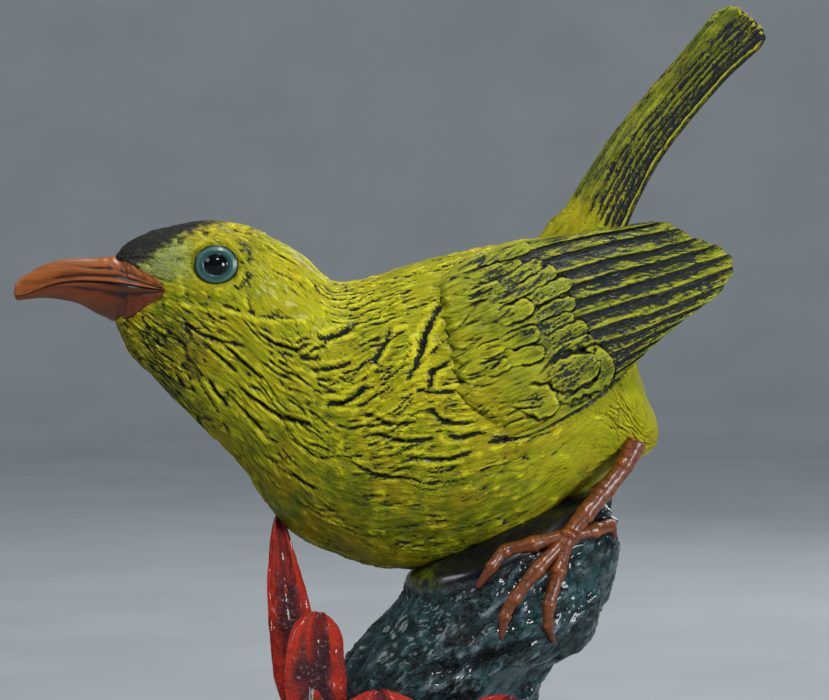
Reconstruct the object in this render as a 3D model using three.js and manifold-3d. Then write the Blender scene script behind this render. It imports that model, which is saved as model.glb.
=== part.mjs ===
// A cold-painted cast bronze: a streaked yellow-green songbird with a curved bill crouches on the
// broken end of a leaning tree stump, its tail cocked, and a large red flower opens in front of the
// trunk and reaches one petal up to the bird's breast. The castings are brazed to each other.
// Millimetres, +Z up, bill towards -X. The origin is on the ground, under the middle of the base.

import * as THREE from "three";
import { mergeVertices } from "three/addons/utils/BufferGeometryUtils.js";
import Module from "manifold-3d";

const BIRD_LENGTH = 186; // level, from the tip of the bill to the tip of the tail
const PERCH_HEIGHT = 117.5; // from the ground to the left shoulder of the stump, under the belly
const TRUNK_WIDTH = 50; // side to side, half way up the trunk
const TRUNK_DEPTH = 44; // front to back, half way up the trunk
const BARK_RELIEF = 2.2; // how far the ridges of the bark stand out
const BASE_WIDTH = 112; // the low ground that the stump grows from, side to side
const BASE_DEPTH = 100; // the same, front to back
const BASE_HEIGHT = 11; // how far the ground rises towards the trunk
const FLOWER_SIZE = 70; // length of the longest petal
const PETAL_THICKNESS = 5; // through the middle of a petal
const WING_EDGE = 2.6; // thickness of the folded wing where it stands free of the body
const WING_ROOT = 9; // thickness of the same where it is sunk in the body
const FEATHER_STEP = 1.3; // how far one flight feather stands above the next
const COVERT_STEP = 1.1; // how far a row of coverts stands above the feathers behind it
const TAIL_EDGE = 2.8; // thickness of the closed tail
const TAIL_STEP = 0.9; // how far one tail feather stands above the next
const TARSUS_THICKNESS = 5.6; // the bare shank, at its middle
const TOE_THICKNESS = 4.4;
const EYE_RELIEF = 1.3; // how far the eye stands out of its ring
const CLEARANCE = 0.3; // between castings that meet

const PAINT = {
  plumage: { color: 0x9c9414, roughness: 0.42, metalness: 0.15 },
  bark: { color: 0x1c3437, roughness: 0.45, metalness: 0.3 },
  petal: { color: 0x8e140d, roughness: 0.38, metalness: 0.15 },
};

const wasm = await Module();
wasm.setup();

// Catmull-Rom through the rows of a table; row i is met at t = i.
function rowAt(table, t) {
  const last = table.length - 1;
  const i = Math.min(Math.max(Math.floor(t), 0), last - 1);
  const f = t - i;
  const [a, b, c, d] = [i - 1, i, i + 1, i + 2].map((n) => table[Math.min(Math.max(n, 0), last)]);
  return b.map((_, k) => {
    const m0 = i === 0 ? c[k] - b[k] : (c[k] - a[k]) / 2;
    const m1 = i === last - 1 ? c[k] - b[k] : (d[k] - b[k]) / 2;
    const f2 = f * f;
    const f3 = f2 * f;
    return (2 * f3 - 3 * f2 + 1) * b[k] + (f3 - 2 * f2 + f) * m0 + (3 * f2 - 2 * f3) * c[k] + (f3 - f2) * m1;
  });
}

// The row of a table whose first column holds the given value; the column only rises.
function rowWhere(table, value) {
  let low = 0;
  let high = table.length - 1;
  for (let step = 0; step < 30; step += 1) {
    const middle = (low + high) / 2;
    if (rowAt(table, middle)[0] < value) low = middle;
    else high = middle;
  }
  return rowAt(table, (low + high) / 2);
}

// A closed solid through rings of equally many points, with a point at either end.
function skin(rings, firstPoint, lastPoint) {
  const across = rings[0].length;
  const points = [firstPoint, ...rings.flat(), lastPoint];
  const faces = [];
  const at = (ring, k) => 1 + ring * across + (k % across);
  for (let k = 0; k < across; k += 1) {
    faces.push(0, at(0, k + 1), at(0, k));
    faces.push(points.length - 1, at(rings.length - 1, k), at(rings.length - 1, k + 1));
    for (let ring = 0; ring < rings.length - 1; ring += 1) {
      faces.push(at(ring, k), at(ring, k + 1), at(ring + 1, k + 1));
      faces.push(at(ring, k), at(ring + 1, k + 1), at(ring + 1, k));
    }
  }
  return solid(points, faces);
}

// A manifold from points and faces, turned so that its faces point outwards.
function solid(points, faces) {
  let geometry = new THREE.BufferGeometry();
  geometry.setAttribute("position", new THREE.Float32BufferAttribute(points.flat(), 3));
  geometry.setIndex(faces);
  geometry = mergeVertices(geometry, 1e-4);
  const corners = geometry.attributes.position;
  const index = Array.from(geometry.index.array);
  const [p, q, r] = [new THREE.Vector3(), new THREE.Vector3(), new THREE.Vector3()];
  const kept = [];
  let volume = 0;
  for (let i = 0; i < index.length; i += 3) {
    const [a, b, c] = index.slice(i, i + 3);
    if (a === b || b === c || a === c) continue;
    kept.push([a, b, c]);
    p.fromBufferAttribute(corners, a);
    q.fromBufferAttribute(corners, b);
    r.fromBufferAttribute(corners, c);
    volume += p.dot(q.cross(r));
  }
  const triVerts = new Uint32Array(kept.flatMap(([a, b, c]) => (volume < 0 ? [a, c, b] : [a, b, c])));
  return new wasm.Manifold(
    new wasm.Mesh({ numProp: 3, vertProperties: corners.array, triVerts }),
  );
}

function joined(solids) {
  return solids.reduce((whole, piece) => whole.add(piece));
}

// A mesh of the finished solid, in the colour of its paint.
function painted(name, made, paint) {
  const { vertProperties, triVerts } = made.getMesh();
  const geometry = new THREE.BufferGeometry();
  geometry.setAttribute("position", new THREE.BufferAttribute(new Float32Array(vertProperties), 3));
  geometry.setIndex(new THREE.BufferAttribute(new Uint32Array(triVerts), 1));
  geometry.computeVertexNormals();
  const mesh = new THREE.Mesh(geometry, new THREE.MeshStandardMaterial(paint));
  mesh.name = name;
  return mesh;
}

const range = (count) => Array.from({ length: count }, (_, i) => i);
const mix = (a, b, f) => a + (b - a) * f;
const smooth = (x, from, to) => THREE.MathUtils.smoothstep(x, from, to);
const bump = (x) => Math.sin(Math.PI * THREE.MathUtils.clamp(x, 0, 1));

// The bird is laid out in shares of its own length, 99 of them from bill to tail, measured from
// the point of the belly that meets the stump's shoulder: x towards the tail, z upwards.
const UNIT = BIRD_LENGTH / 99;
const birdX = (x) => x * UNIT;
const birdZ = (z) => PERCH_HEIGHT + z * UNIT;

// Head and body in upright slices: x, top, bottom, half width, and how much wider the slice is
// above its middle than below.
const BODY = [
  [-44.2, 37.9, 37.9, 0, 0],
  [-43.8, 40.2, 35.2, 1.6, 0],
  [-42.9, 42.3, 32.2, 2.6, 0],
  [-41, 44, 28.4, 3.9, 0.1],
  [-38.3, 45.2, 25.6, 5.1, 0.2],
  [-34.6, 46.1, 21.9, 6.1, 0.25],
  [-30.6, 46.6, 18, 6.8, 0.25],
  [-26.4, 46, 13.8, 7.5, 0.2],
  [-22.4, 44.3, 8, 8.3, 0.12],
  [-18.4, 41.8, 4.2, 9.5, 0.05],
  [-14, 38.3, 2.2, 10.9, 0],
  [-8.7, 39.1, 0.5, 12.3, -0.05],
  [-2.7, 40.9, 0.2, 13.4, -0.05],
  [4, 42.6, 1.1, 14, -0.05],
  [10.7, 43.8, 4.3, 13.4, 0],
  [16.2, 44.5, 8.3, 12, 0.02],
  [21.3, 43.2, 12, 9.9, 0.05],
  [24.3, 34, 13.6, 7.9, 0],
  [26.4, 26.4, 14.6, 6.1, 0],
  [27.9, 21.8, 15.7, 3.9, 0],
  [28.7, 19.9, 16.8, 2, 0],
  [29, 18.4, 18.4, 0, 0],
];
const BODY_SLICES = 29;
const BODY_SIDES = 24;

function bodyPoint(t, angle, grow) {
  const [x, top, bottom, halfWidth, egg] = rowAt(BODY, t);
  const last = BODY.length - 1;
  const endwise = t < 1 ? -grow * (1 - t) : t > last - 1 ? grow * (t - last + 1) : 0;
  const halfHeight = ((top - bottom) / 2) * UNIT + grow;
  const side = (halfWidth * UNIT + grow) * Math.cos(angle) * (1 + egg * Math.sin(angle));
  return [birdX(x) + endwise, side, birdZ((top + bottom) / 2) + halfHeight * Math.sin(angle)];
}

function body(grow = 0) {
  const last = BODY.length - 1;
  const slice = (step) =>
    range(BODY_SIDES).map((k) => bodyPoint((last * step) / BODY_SLICES, (2 * Math.PI * k) / BODY_SIDES, grow));
  const rings = range(BODY_SLICES - 1).map((step) => slice(step + 1));
  return skin(rings, bodyPoint(0, 0, grow), bodyPoint(last, 0, grow));
}

// The bill in upright slices: x, top, bottom, half width. The mouth line parts it in two.
const BILL = [
  [-56.6, 36.9, 36.9, 0],
  [-56.2, 38.3, 35.9, 0.5],
  [-55, 39.3, 35.9, 0.8],
  [-53.1, 40.4, 36.1, 1.1],
  [-50.6, 41.2, 35.9, 1.4],
  [-47.9, 41.5, 35.3, 1.7],
  [-45.3, 41.6, 33.9, 2.1],
  [-42.9, 41.8, 32.9, 2.9],
  [-41, 41, 33.4, 4],
  [-38.6, 39.8, 35.1, 5.4],
  [-36.8, 38.5, 36.1, 6],
  [-36, 37.3, 37.3, 6],
];
const MOUTH = [
  [-56.6, 36.5],
  [-54.9, 36.7],
  [-51.9, 37.8],
  [-48.6, 38.4],
  [-45.3, 38.4],
  [-41.3, 38],
  [-36, 37.3],
];
const LIP = 0.25; // how far the upper half overhangs the lower one, in the bird's units
const BILL_SLICES = 13;
const BILL_SIDES = 10;

// One half of the bill: the upper closes on the mouth line, the lower starts there.
function billHalf(upper) {
  const slice = (row) => {
    const [x, top, bottom, halfWidth] = row;
    const mouth = THREE.MathUtils.clamp(rowWhere(MOUTH, x)[1], bottom, top);
    const width = Math.max(halfWidth - (upper ? 0 : LIP), halfWidth * 0.5);
    return range(BILL_SIDES).map((k) => {
      const angle = (2 * Math.PI * k) / BILL_SIDES;
      const height = Math.sin(angle);
      const z = mix(mouth, upper ? top : bottom, Math.abs(height));
      const outside = upper ? height >= 0 : height <= 0;
      const overlap = upper ? 0 : LIP;
      return [birdX(x), width * UNIT * Math.cos(angle), birdZ(outside ? z : mouth + overlap)];
    });
  };
  const rows = range(BILL_SLICES).map((step) => rowAt(BILL, 0.6 + ((BILL.length - 2) * step) / BILL_SLICES));
  const [first, last] = [BILL[0], BILL[BILL.length - 1]];
  return skin(rows.map(slice), [birdX(first[0]), 0, birdZ(first[1])], [birdX(last[0]), 0, birdZ(last[1])]);
}

// A folded wing lies on a shell a little outside the body: x, middle height, half height and
// half width of that shell, which runs on behind the body.
const WING_SHELL = [
  [-6, 20, 20.8, 13.6],
  [-2.7, 20.9, 20.8, 14.2],
  [10.7, 24.2, 20.9, 15],
  [21.3, 29.3, 18.8, 12],
  [29.3, 34.9, 14.9, 9],
  [39.5, 39.9, 10.9, 5.4],
];
// The outline of a wing from the side: along its top, along its bottom, across its front and
// round the tips of its feathers.
const WING_TOP = [[-1.3, 37.5], [2.9, 41], [10.7, 43.5], [19.3, 45], [27.4, 46.2]];
const WING_BOTTOM = [[-0.3, 24.6], [8.7, 18.6], [17.6, 22], [22.4, 25.4], [25.8, 28.4]];
const WING_TIPS = [
  [27.4, 46.2],
  [29.9, 46.2],
  [33, 44.4],
  [36.6, 43.1],
  [38.5, 40.8],
  [36.7, 37.1],
  [32.1, 33.7],
  [27.9, 30.3],
  [25.8, 28.4],
];
const WING_FRONT = [[-1.3, 37.5], [-2.1, 31.3], [-0.3, 24.6]];
const FEATHERS = 9; // in the flight and in each row of coverts
const COVERT_EDGES = [0.2, 0.4]; // where each row of coverts ends, along the wing
const COVERT_ROUND = 0.05; // how far the round tips of the coverts reach past that
const FRONT_SINK = 5; // how deep the front edge of the wing lies in the shoulder

const along = (outline, f) => rowAt(outline, f * (outline.length - 1));

// A point of the wing's outline patch: s along the wing, t from its top edge to its bottom edge.
function wingPlan(s, t) {
  const [top, bottom, front, tips] = [
    along(WING_TOP, s),
    along(WING_BOTTOM, s),
    along(WING_FRONT, t),
    along(WING_TIPS, t),
  ];
  return [0, 1].map((k) => {
    const upper = mix(WING_TOP[0][k], WING_TIPS[0][k], s);
    const lower = mix(WING_BOTTOM[0][k], WING_TIPS[WING_TIPS.length - 1][k], s);
    return mix(top[k], bottom[k], t) + mix(front[k], tips[k], s) - mix(upper, lower, t);
  });
}

const covertEnd = (row, t) => COVERT_EDGES[row] + COVERT_ROUND * bump((t * FEATHERS + row / 2) % 1);

// How far the carved feathers stand out of the shell: rows of coverts at the front, then flight
// feathers, each of which overlaps the one below it.
function featherLift(s, t) {
  let lift = 0;
  COVERT_EDGES.forEach((_, row) => {
    const end = covertEnd(row, t);
    if (s < end) lift += COVERT_STEP * mix(0.25, 1, s / end);
  });
  const flight = smooth(s, COVERT_EDGES[1], COVERT_EDGES[1] + 0.1);
  const across = (Math.min(t, 0.999) * FEATHERS) % 1;
  const crest = 0.72;
  const rise = across < crest ? mix(0.15, 1, across / crest) : mix(1, 0, (across - crest) / (1 - crest));
  return lift + flight * FEATHER_STEP * rise;
}

function wingPoint(s, t, side, depth) {
  const [x, z] = wingPlan(s, t);
  const [, middle, halfHeight, halfWidth] = rowWhere(WING_SHELL, x);
  const level = THREE.MathUtils.clamp((z - middle) / halfHeight, -0.98, 0.98);
  const out = halfWidth * UNIT * Math.sqrt(1 - level * level) - depth;
  return [birdX(x), side * out, birdZ(z)];
}

function wing(side) {
  const step = 0.006;
  const rows = [
    () => 0,
    () => 0.06,
    () => 0.13,
    (t) => covertEnd(0, t) - step,
    (t) => covertEnd(0, t) + step,
    () => 0.32,
    (t) => covertEnd(1, t) - step,
    (t) => covertEnd(1, t) + step,
    () => 0.52,
    () => 0.66,
    () => 0.83,
    (t) => 0.96 + 0.04 * bump((t * FEATHERS) % 1),
  ];
  const outerT = range(3 * FEATHERS + 1).map((k) => (Math.floor(k / 3) + 0.36 * (k % 3)) / FEATHERS);
  const innerT = [1, 0.67, 0.33, 0];
  const sink = (s) => FRONT_SINK * (1 - smooth(s, 0, 0.13));
  const rings = rows.map((row) => {
    const outer = outerT.map((t) => wingPoint(row(t), t, side, sink(row(t)) - featherLift(row(t), t)));
    const inner = innerT.map((t) => {
      const s = row(t);
      return wingPoint(s, t, side, mix(WING_ROOT, WING_EDGE, smooth(s, 0.3, 0.75)));
    });
    return [...outer, ...inner];
  });
  const middle = (s, depth) => wingPoint(s, 0.5, side, depth);
  return skin(rings, middle(0, (FRONT_SINK + WING_ROOT) / 2), middle(0.96, WING_EDGE / 2));
}

// The closed tail: a spine from its root to its tip, with half its height and how far it
// spreads to either side. Its feathers slope down from the middle one like a roof.
const TAIL = [
  [15.3, 39.5, 5.3, 4],
  [18.3, 43.5, 4.9, 4],
  [20.4, 46.6, 4.3, 3.9],
  [22.7, 50.8, 3.85, 4],
  [25.9, 56.1, 3.55, 4.4],
  [30.05, 61.4, 3.35, 5],
  [34.7, 66.8, 3.35, 5.8],
  [37.6, 69.9, 3.6, 6.4],
  [39, 71.3, 3.75, 6.7],
];
const TAIL_FEATHERS = 5; // on each side of the middle one
const TAIL_SLICES = 10;
const TAIL_ROUND = 3; // how far its rounded end reaches past the last row

function tailRing(t) {
  const last = TAIL.length - 1;
  const [x, z, half, spread] = rowAt(TAIL, t);
  const [x0, z0] = rowAt(TAIL, Math.max(t - 0.05, 0));
  const [x1, z1] = rowAt(TAIL, Math.min(t + 0.05, last));
  const length = Math.hypot(x1 - x0, z1 - z0);
  const way = [(x1 - x0) / length, (z1 - z0) / length];
  const edge = TAIL_EDGE / UNIT;
  const place = (side, share, sunk) => {
    const fall = mix(-half, half - edge, share) + sunk / UNIT;
    const round = TAIL_ROUND * smooth(t, last - 1, last) * (1 - (2 * share - 1) ** 6);
    const out = side * (spread * UNIT * share ** 0.8 + 1);
    return [birdX(x + way[1] * fall + way[0] * round), out, birdZ(z - way[0] * fall + way[1] * round)];
  };
  const steps = range(2 * TAIL_FEATHERS + 1);
  const slope = steps.map((k) => [k / (2 * TAIL_FEATHERS), k % 2 ? TAIL_STEP : 0]);
  const under = [0.95, 0.35].map((share) => [share, TAIL_EDGE * mix(1.5, 1, share)]);
  const right = [...slope, ...under].map(([share, sunk]) => place(1, share, sunk));
  const left = [...slope, ...under].map(([share, sunk]) => place(-1, share, sunk));
  return [...right, ...left.reverse()];
}

function tail() {
  const last = TAIL.length - 1;
  const rings = range(TAIL_SLICES + 1).map((step) => tailRing((last * step) / TAIL_SLICES));
  const centre = (t, ahead) => {
    const [x, z] = rowAt(TAIL, t);
    return [birdX(x + ahead), 0, birdZ(z + ahead)];
  };
  return skin(rings, centre(0, 0), centre(last, TAIL_ROUND / 2));
}

// A round limb through points that are [x, y, z, radius] in millimetres.
function limb(path, perPoint = 3, sides = 8) {
  const steps = (path.length - 1) * perPoint;
  const centre = (t) => new THREE.Vector3(...rowAt(path, t).slice(0, 3));
  const rings = range(steps + 1).map((step) => {
    const t = step / perPoint;
    const ahead = centre(Math.min(t + 0.1, path.length - 1));
    const way = ahead.sub(centre(Math.max(t - 0.1, 0))).normalize();
    const level = new THREE.Vector3(0, 1, 0).cross(way).normalize();
    const upright = way.clone().cross(level);
    const radius = rowAt(path, t)[3];
    return range(sides).map((k) => {
      const angle = (2 * Math.PI * k) / sides;
      const point = centre(t).addScaledVector(level, radius * Math.cos(angle));
      return point.addScaledVector(upright, radius * Math.sin(angle)).toArray();
    });
  });
  return skin(rings, centre(0).toArray(), centre(path.length - 1).toArray());
}

// The stump in level slices, in shares of the perch height and of the trunk's width and depth:
// height, middle, half width, half depth.
const STUMP = [
  [0.02, 0, 0.72, 0.7],
  [0.06, 0.03, 0.62, 0.62],
  [0.14, -0.02, 0.55, 0.55],
  [0.3, -0.03, 0.51, 0.51],
  [0.51, -0.03, 0.49, 0.5],
  [0.65, -0.02, 0.49, 0.49],
  [0.73, -0.01, 0.5, 0.5],
  [0.8, 0.05, 0.52, 0.51],
  [0.84, 0.165, 0.57, 0.53],
  [0.89, 0.262, 0.545, 0.54],
  [0.94, 0.33, 0.52, 0.54],
  [0.99, 0.355, 0.51, 0.53],
  [1.04, 0.42, 0.465, 0.49],
  [1.085, 0.52, 0.365, 0.42],
  [1.13, 0.63, 0.235, 0.31],
  [1.16, 0.72, 0.12, 0.17],
  [1.175, 0.76, 0, 0],
];
const STUMP_SLICES = 25;
const STUMP_SIDES = 28;

// The ridges of the bark wind up the trunk and fade at its broken end.
function barkRidge(height, angle) {
  const winding = Math.sin(3 * angle - 8 * height) + 0.5 * Math.sin(7 * angle + 11 * height + 1);
  return BARK_RELIEF * 0.5 * winding * (1 - smooth(height, 0.86, 1.02));
}

function stumpPoint(t, angle, grow) {
  const [height, middle, halfWidth, halfDepth] = rowAt(STUMP, t);
  const out = grow + (halfWidth > 0 ? barkRidge(height, angle) : 0);
  const x = middle * TRUNK_WIDTH + (halfWidth * TRUNK_WIDTH + out) * Math.cos(angle);
  const y = (halfDepth * TRUNK_DEPTH + out) * Math.sin(angle);
  return [x, y, height * PERCH_HEIGHT + (t >= STUMP.length - 2 ? grow : 0)];
}

function trunk(grow = 0) {
  const last = STUMP.length - 1;
  const slice = (step) =>
    range(STUMP_SIDES).map((k) => stumpPoint((last * step) / STUMP_SLICES, (2 * Math.PI * k) / STUMP_SIDES, grow));
  const [height, middle] = STUMP[0];
  const foot = [middle * TRUNK_WIDTH, 0, height * PERCH_HEIGHT];
  const [topHeight, topMiddle] = STUMP[last];
  const top = [topMiddle * TRUNK_WIDTH, 0, topHeight * PERCH_HEIGHT + grow];
  return skin(range(STUMP_SLICES).map(slice), foot, top);
}

// How far the stump's face stands from the upright plane through its middle at (x, z).
function stumpFace(x, z) {
  const [height, middle, halfWidth, halfDepth] = rowWhere(STUMP, z / PERCH_HEIGHT);
  const level = THREE.MathUtils.clamp((x / TRUNK_WIDTH - middle) / halfWidth, -0.98, 0.98);
  const angle = -Math.acos(level);
  return (halfDepth * TRUNK_DEPTH + barkRidge(height, angle)) * Math.sqrt(1 - level * level);
}

// The low ground under the stump, with a flat underside and an uneven edge.
const GROUND = [
  [0, 0.47],
  [0.25, 0.5],
  [0.55, 0.47],
  [0.8, 0.38],
  [1, 0.26],
];

function ground() {
  const ring = ([height, reach]) =>
    range(STUMP_SIDES).map((k) => {
      const angle = (2 * Math.PI * k) / STUMP_SIDES;
      const uneven = 1 + 0.025 * Math.sin(3 * angle + 1) + 0.02 * Math.sin(5 * angle);
      const [x, y] = [reach * uneven * BASE_WIDTH * Math.cos(angle), reach * uneven * BASE_DEPTH * Math.sin(angle)];
      const knobs = height > 0.3 ? 1 + 0.12 * Math.sin(4 * angle + 7 * height) : 1;
      return [x, y, height * BASE_HEIGHT * knobs];
    });
  return skin(GROUND.map(ring), [0, 0, 0], [0, 0, BASE_HEIGHT]);
}

// One leg. The shank leaves the tail end of the belly; every toe is pressed against the stump,
// so it is laid out on the stump's face: x and z in the bird's units.
const SHANK = [[25.7, 17.6], [24.1, 14.4], [21.6, 11.3], [19, 8.3], [16.7, 5.5]];
const TOES = [
  [[16.9, 5.6], [12, 4.5], [8.4, 3.5], [6.7, 1.6], [4.7, -1.2]],
  [[16.6, 5.2], [12.6, 1.3], [9.6, -2.4], [8.4, -4.7], [7.9, -7.7]],
  [[16.5, 4.8], [15.4, 1.1], [14.1, -3.3], [14, -6], [14.8, -8.5]],
  [[16.9, 5.6], [20.2, 6], [22.3, 6.3], [23, 4.6]],
];
const KNUCKLE = 1.12; // how much thicker a joint is than the toe between joints

function leg(side) {
  const toeRadius = TOE_THICKNESS / 2;
  const onFace = ([x, z], radius) => {
    const out = stumpFace(birdX(x), birdZ(z)) + radius * 0.45;
    return [birdX(x), side * out, birdZ(z), radius];
  };
  const toes = TOES.map((toe) => {
    const last = toe.length - 1;
    const thickness = (k) => (k === last ? 0.35 : k === 0 ? 1 : KNUCKLE - 0.1 * k);
    return limb(toe.map((point, k) => onFace(point, toeRadius * thickness(k))), 2, 6);
  });
  const foot = onFace(TOES[0][0], TARSUS_THICKNESS / 2);
  const hip = 5.2 * UNIT;
  const shank = SHANK.map(([x, z], k) => {
    const f = k / (SHANK.length - 1);
    const radius = (TARSUS_THICKNESS / 2) * (k === 0 ? 1.25 : 0.95);
    return [birdX(x), mix(side * hip, foot[1], f), birdZ(z), radius];
  });
  return joined([limb(shank, 2, 8), ...toes]);
}

// The eye: a shallow dome in a ring, on the side of the head.
const EYE = { x: -29.3, z: 40.7, radius: 2.8, pupil: 1.45 };
const EYE_SIDES = 12;

function dome(side, radius, proud) {
  const [, top, bottom, halfWidth, egg] = rowWhere(BODY, EYE.x);
  const level = (EYE.z - (top + bottom) / 2) / ((top - bottom) / 2);
  const face = halfWidth * UNIT * Math.sqrt(1 - level * level) * (1 + egg * level);
  const rings = range(4).map((k) => {
    const lean = (Math.PI / 2) * (1 - Math.max(k - 1, 0) / 3);
    const reach = radius * UNIT * Math.sin(lean);
    const out = k === 0 ? face - 2 : face + proud * Math.cos(lean);
    return range(EYE_SIDES).map((n) => {
      const angle = (2 * Math.PI * n) / EYE_SIDES;
      return [birdX(EYE.x) + reach * Math.cos(angle), side * out, birdZ(EYE.z) + reach * Math.sin(angle)];
    });
  });
  const centre = (out) => [birdX(EYE.x), side * out, birdZ(EYE.z)];
  return skin(rings, centre(face - 2), centre(face + proud));
}

function eye(side) {
  return dome(side, EYE.radius, EYE_RELIEF).add(dome(side, EYE.pupil, EYE_RELIEF * 1.7));
}

// The flower: petals rise from a cup on the trunk's face. Each spine runs from the cup through
// two pulls to the tip, in shares of the flower's size from the cup's middle; then come the
// petal's half width, how far its sides turn round the spine, and how it faces.
const CUP = { x: -0.24, height: 0.5, radius: 0.15 };
const PETALS = [
  { pulls: [[-0.3, -0.03, 0.25], [-0.371, 0.2, 0.65]], tip: "breast", width: 0.1, faces: [0.1, -1, 0.1] },
  { pulls: [[-0.25, -0.143, 0.104], [-0.29, -0.086, 0.475]], tip: [-0.25, 0.05, 0.72], width: 0.115, faces: [0.1, -1, 0.15] },
  { pulls: [[-0.03, -0.26, 0.1], [-0.03, -0.26, 0.3]], tip: [-0.04, -0.14, 0.47], width: 0.15, faces: [0, -1, 0.3] },
  { pulls: [[0.16, -0.18, 0.1], [0.36, -0.16, 0.26]], tip: [0.413, -0.06, 0.44], width: 0.12, faces: [0.3, -1, 0.2] },
  { pulls: [[0.28, -0.18, -0.06], [0.48, -0.22, -0.04]], tip: [0.6, -0.12, 0.1], width: 0.13, faces: [0.2, -0.8, 0.6] },
  { pulls: [[0.08, -0.24, -0.1], [0.14, -0.42, -0.16]], tip: [0.18, -0.46, -0.36], width: 0.14, faces: [0, -0.5, 0.9] },
  { pulls: [[-0.26, -0.2, -0.06], [-0.46, -0.24, -0.06]], tip: [-0.56, -0.14, 0.08], width: 0.13, faces: [-0.2, -0.8, 0.6] },
];
const PETAL_SLICES = 8;
const PETAL_SIDES = 10;

// The height of the petal's cut through its thickness, from one side (-1) to the other (1).
function petalCut(side, upper) {
  const round = Math.sqrt(Math.max(1 - side * side, 0));
  const groove = 0.55 * Math.exp(-((side / 0.22) ** 2));
  return upper ? round * (1 - groove) : -0.55 * round;
}

function petal(root, { pulls, tip, width, faces }) {
  const from = (share) => root.clone().addScaledVector(new THREE.Vector3(...share), FLOWER_SIZE);
  const breast = new THREE.Vector3(...bodyPoint(8.35, -Math.PI / 2, 0)).add(new THREE.Vector3(-0.9, 0, 2));
  const end = tip === "breast" ? breast : from(tip);
  const spine = new THREE.CubicBezierCurve3(root, from(pulls[0]), from(pulls[1]), end);
  const facing = new THREE.Vector3(...faces).normalize();
  const rings = range(PETAL_SLICES).map((k) => {
    const s = (k + 0.2) / (PETAL_SLICES - 0.6);
    const centre = spine.getPoint(s);
    const way = spine.getTangent(s);
    const across = way.clone().cross(facing).normalize();
    const out = across.clone().cross(way).normalize();
    const shape = mix(0.45, 1, smooth(s, 0, 0.55)) * Math.sqrt(1 - (Math.max(s - 0.62, 0) / 0.4) ** 2);
    const halfWidth = width * FLOWER_SIZE * shape;
    const half = (PETAL_THICKNESS / 2) * mix(0.7, 1, shape);
    return range(PETAL_SIDES).map((n) => {
      const angle = (2 * Math.PI * n) / PETAL_SIDES;
      const side = Math.cos(angle);
      const height = petalCut(side, Math.sin(angle) >= 0) * half;
      return centre.clone().addScaledVector(across, side * halfWidth).addScaledVector(out, height).toArray();
    });
  });
  return skin(rings, spine.getPoint(0).toArray(), spine.getPoint(1).toArray());
}

// A ball squashed along each axis, for the cup and the heart of the flower.
function ball(centre, radii) {
  const rings = range(4).map((k) => {
    const lean = (Math.PI * (k + 1)) / 5;
    return range(8).map((n) => {
      const angle = (2 * Math.PI * n) / 8;
      const [x, y] = [Math.sin(lean) * Math.cos(angle), Math.sin(lean) * Math.sin(angle)];
      return [centre.x + radii[0] * x, centre.y + radii[1] * y, centre.z + radii[2] * Math.cos(lean)];
    });
  });
  const pole = (sign) => [centre.x, centre.y, centre.z + sign * radii[2]];
  return skin(rings, pole(1), pole(-1));
}

const perch = trunk(CLEARANCE);

function bird() {
  const legs = joined([leg(-1), leg(1)]).subtract(perch);
  const wings = [wing(-1), wing(1)];
  const eyes = [eye(-1), eye(1)];
  return joined([body(), billHalf(true), billHalf(false), ...wings, tail(), ...eyes, legs]);
}

function stump() {
  return trunk().add(ground()).subtract(body(CLEARANCE));
}

function flower() {
  const x = CUP.x * TRUNK_WIDTH;
  const z = CUP.height * PERCH_HEIGHT;
  const radius = CUP.radius * FLOWER_SIZE;
  const root = new THREE.Vector3(x, -stumpFace(x, z) - radius * 0.35, z);
  const heart = root.clone().add(new THREE.Vector3(0, -radius * 0.8, radius * 0.35));
  const petals = PETALS.map((shape) => petal(root, shape));
  const cup = ball(root, [radius, radius * 0.9, radius]);
  const seeds = ball(heart, [radius * 0.5, radius * 0.5, radius * 0.5]);
  return joined([cup, seeds, ...petals]).subtract(perch).subtract(body(CLEARANCE));
}

const sculpture = new THREE.Group();
sculpture.add(painted("bird", bird(), PAINT.plumage));
sculpture.add(painted("tree_stump", stump(), PAINT.bark));
sculpture.add(painted("red_flower", flower(), PAINT.petal));

export default sculpture;
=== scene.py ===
"""Cold-painted bronze bird on a tree stump, with a red flower: the dressed model.

Metres, +Z up, bill towards -X, the bird's left side towards -Y. The origin is on the ground under
the middle of the base. Every form is worked out in millimetres and placed in the mesh, and each
mesh starts as a ball or a grid whose vertices are then laid out ring by ring.
"""

from __future__ import annotations

import logging
import math
from dataclasses import dataclass
from enum import Enum

import bpy
import numpy as np
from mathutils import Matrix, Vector

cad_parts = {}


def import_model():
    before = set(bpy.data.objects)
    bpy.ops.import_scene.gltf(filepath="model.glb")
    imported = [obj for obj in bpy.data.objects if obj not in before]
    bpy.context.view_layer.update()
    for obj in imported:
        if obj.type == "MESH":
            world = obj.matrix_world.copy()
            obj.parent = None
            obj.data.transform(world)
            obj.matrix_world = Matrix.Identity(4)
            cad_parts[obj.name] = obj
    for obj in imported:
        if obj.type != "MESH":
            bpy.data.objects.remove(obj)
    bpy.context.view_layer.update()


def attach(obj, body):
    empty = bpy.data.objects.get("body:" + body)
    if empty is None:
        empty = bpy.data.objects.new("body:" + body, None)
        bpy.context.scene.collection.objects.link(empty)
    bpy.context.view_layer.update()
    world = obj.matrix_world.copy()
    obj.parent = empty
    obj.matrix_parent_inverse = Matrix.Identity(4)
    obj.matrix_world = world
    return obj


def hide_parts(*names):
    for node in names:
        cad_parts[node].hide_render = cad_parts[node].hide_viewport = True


log = logging.getLogger("bronze_bird")

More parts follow.
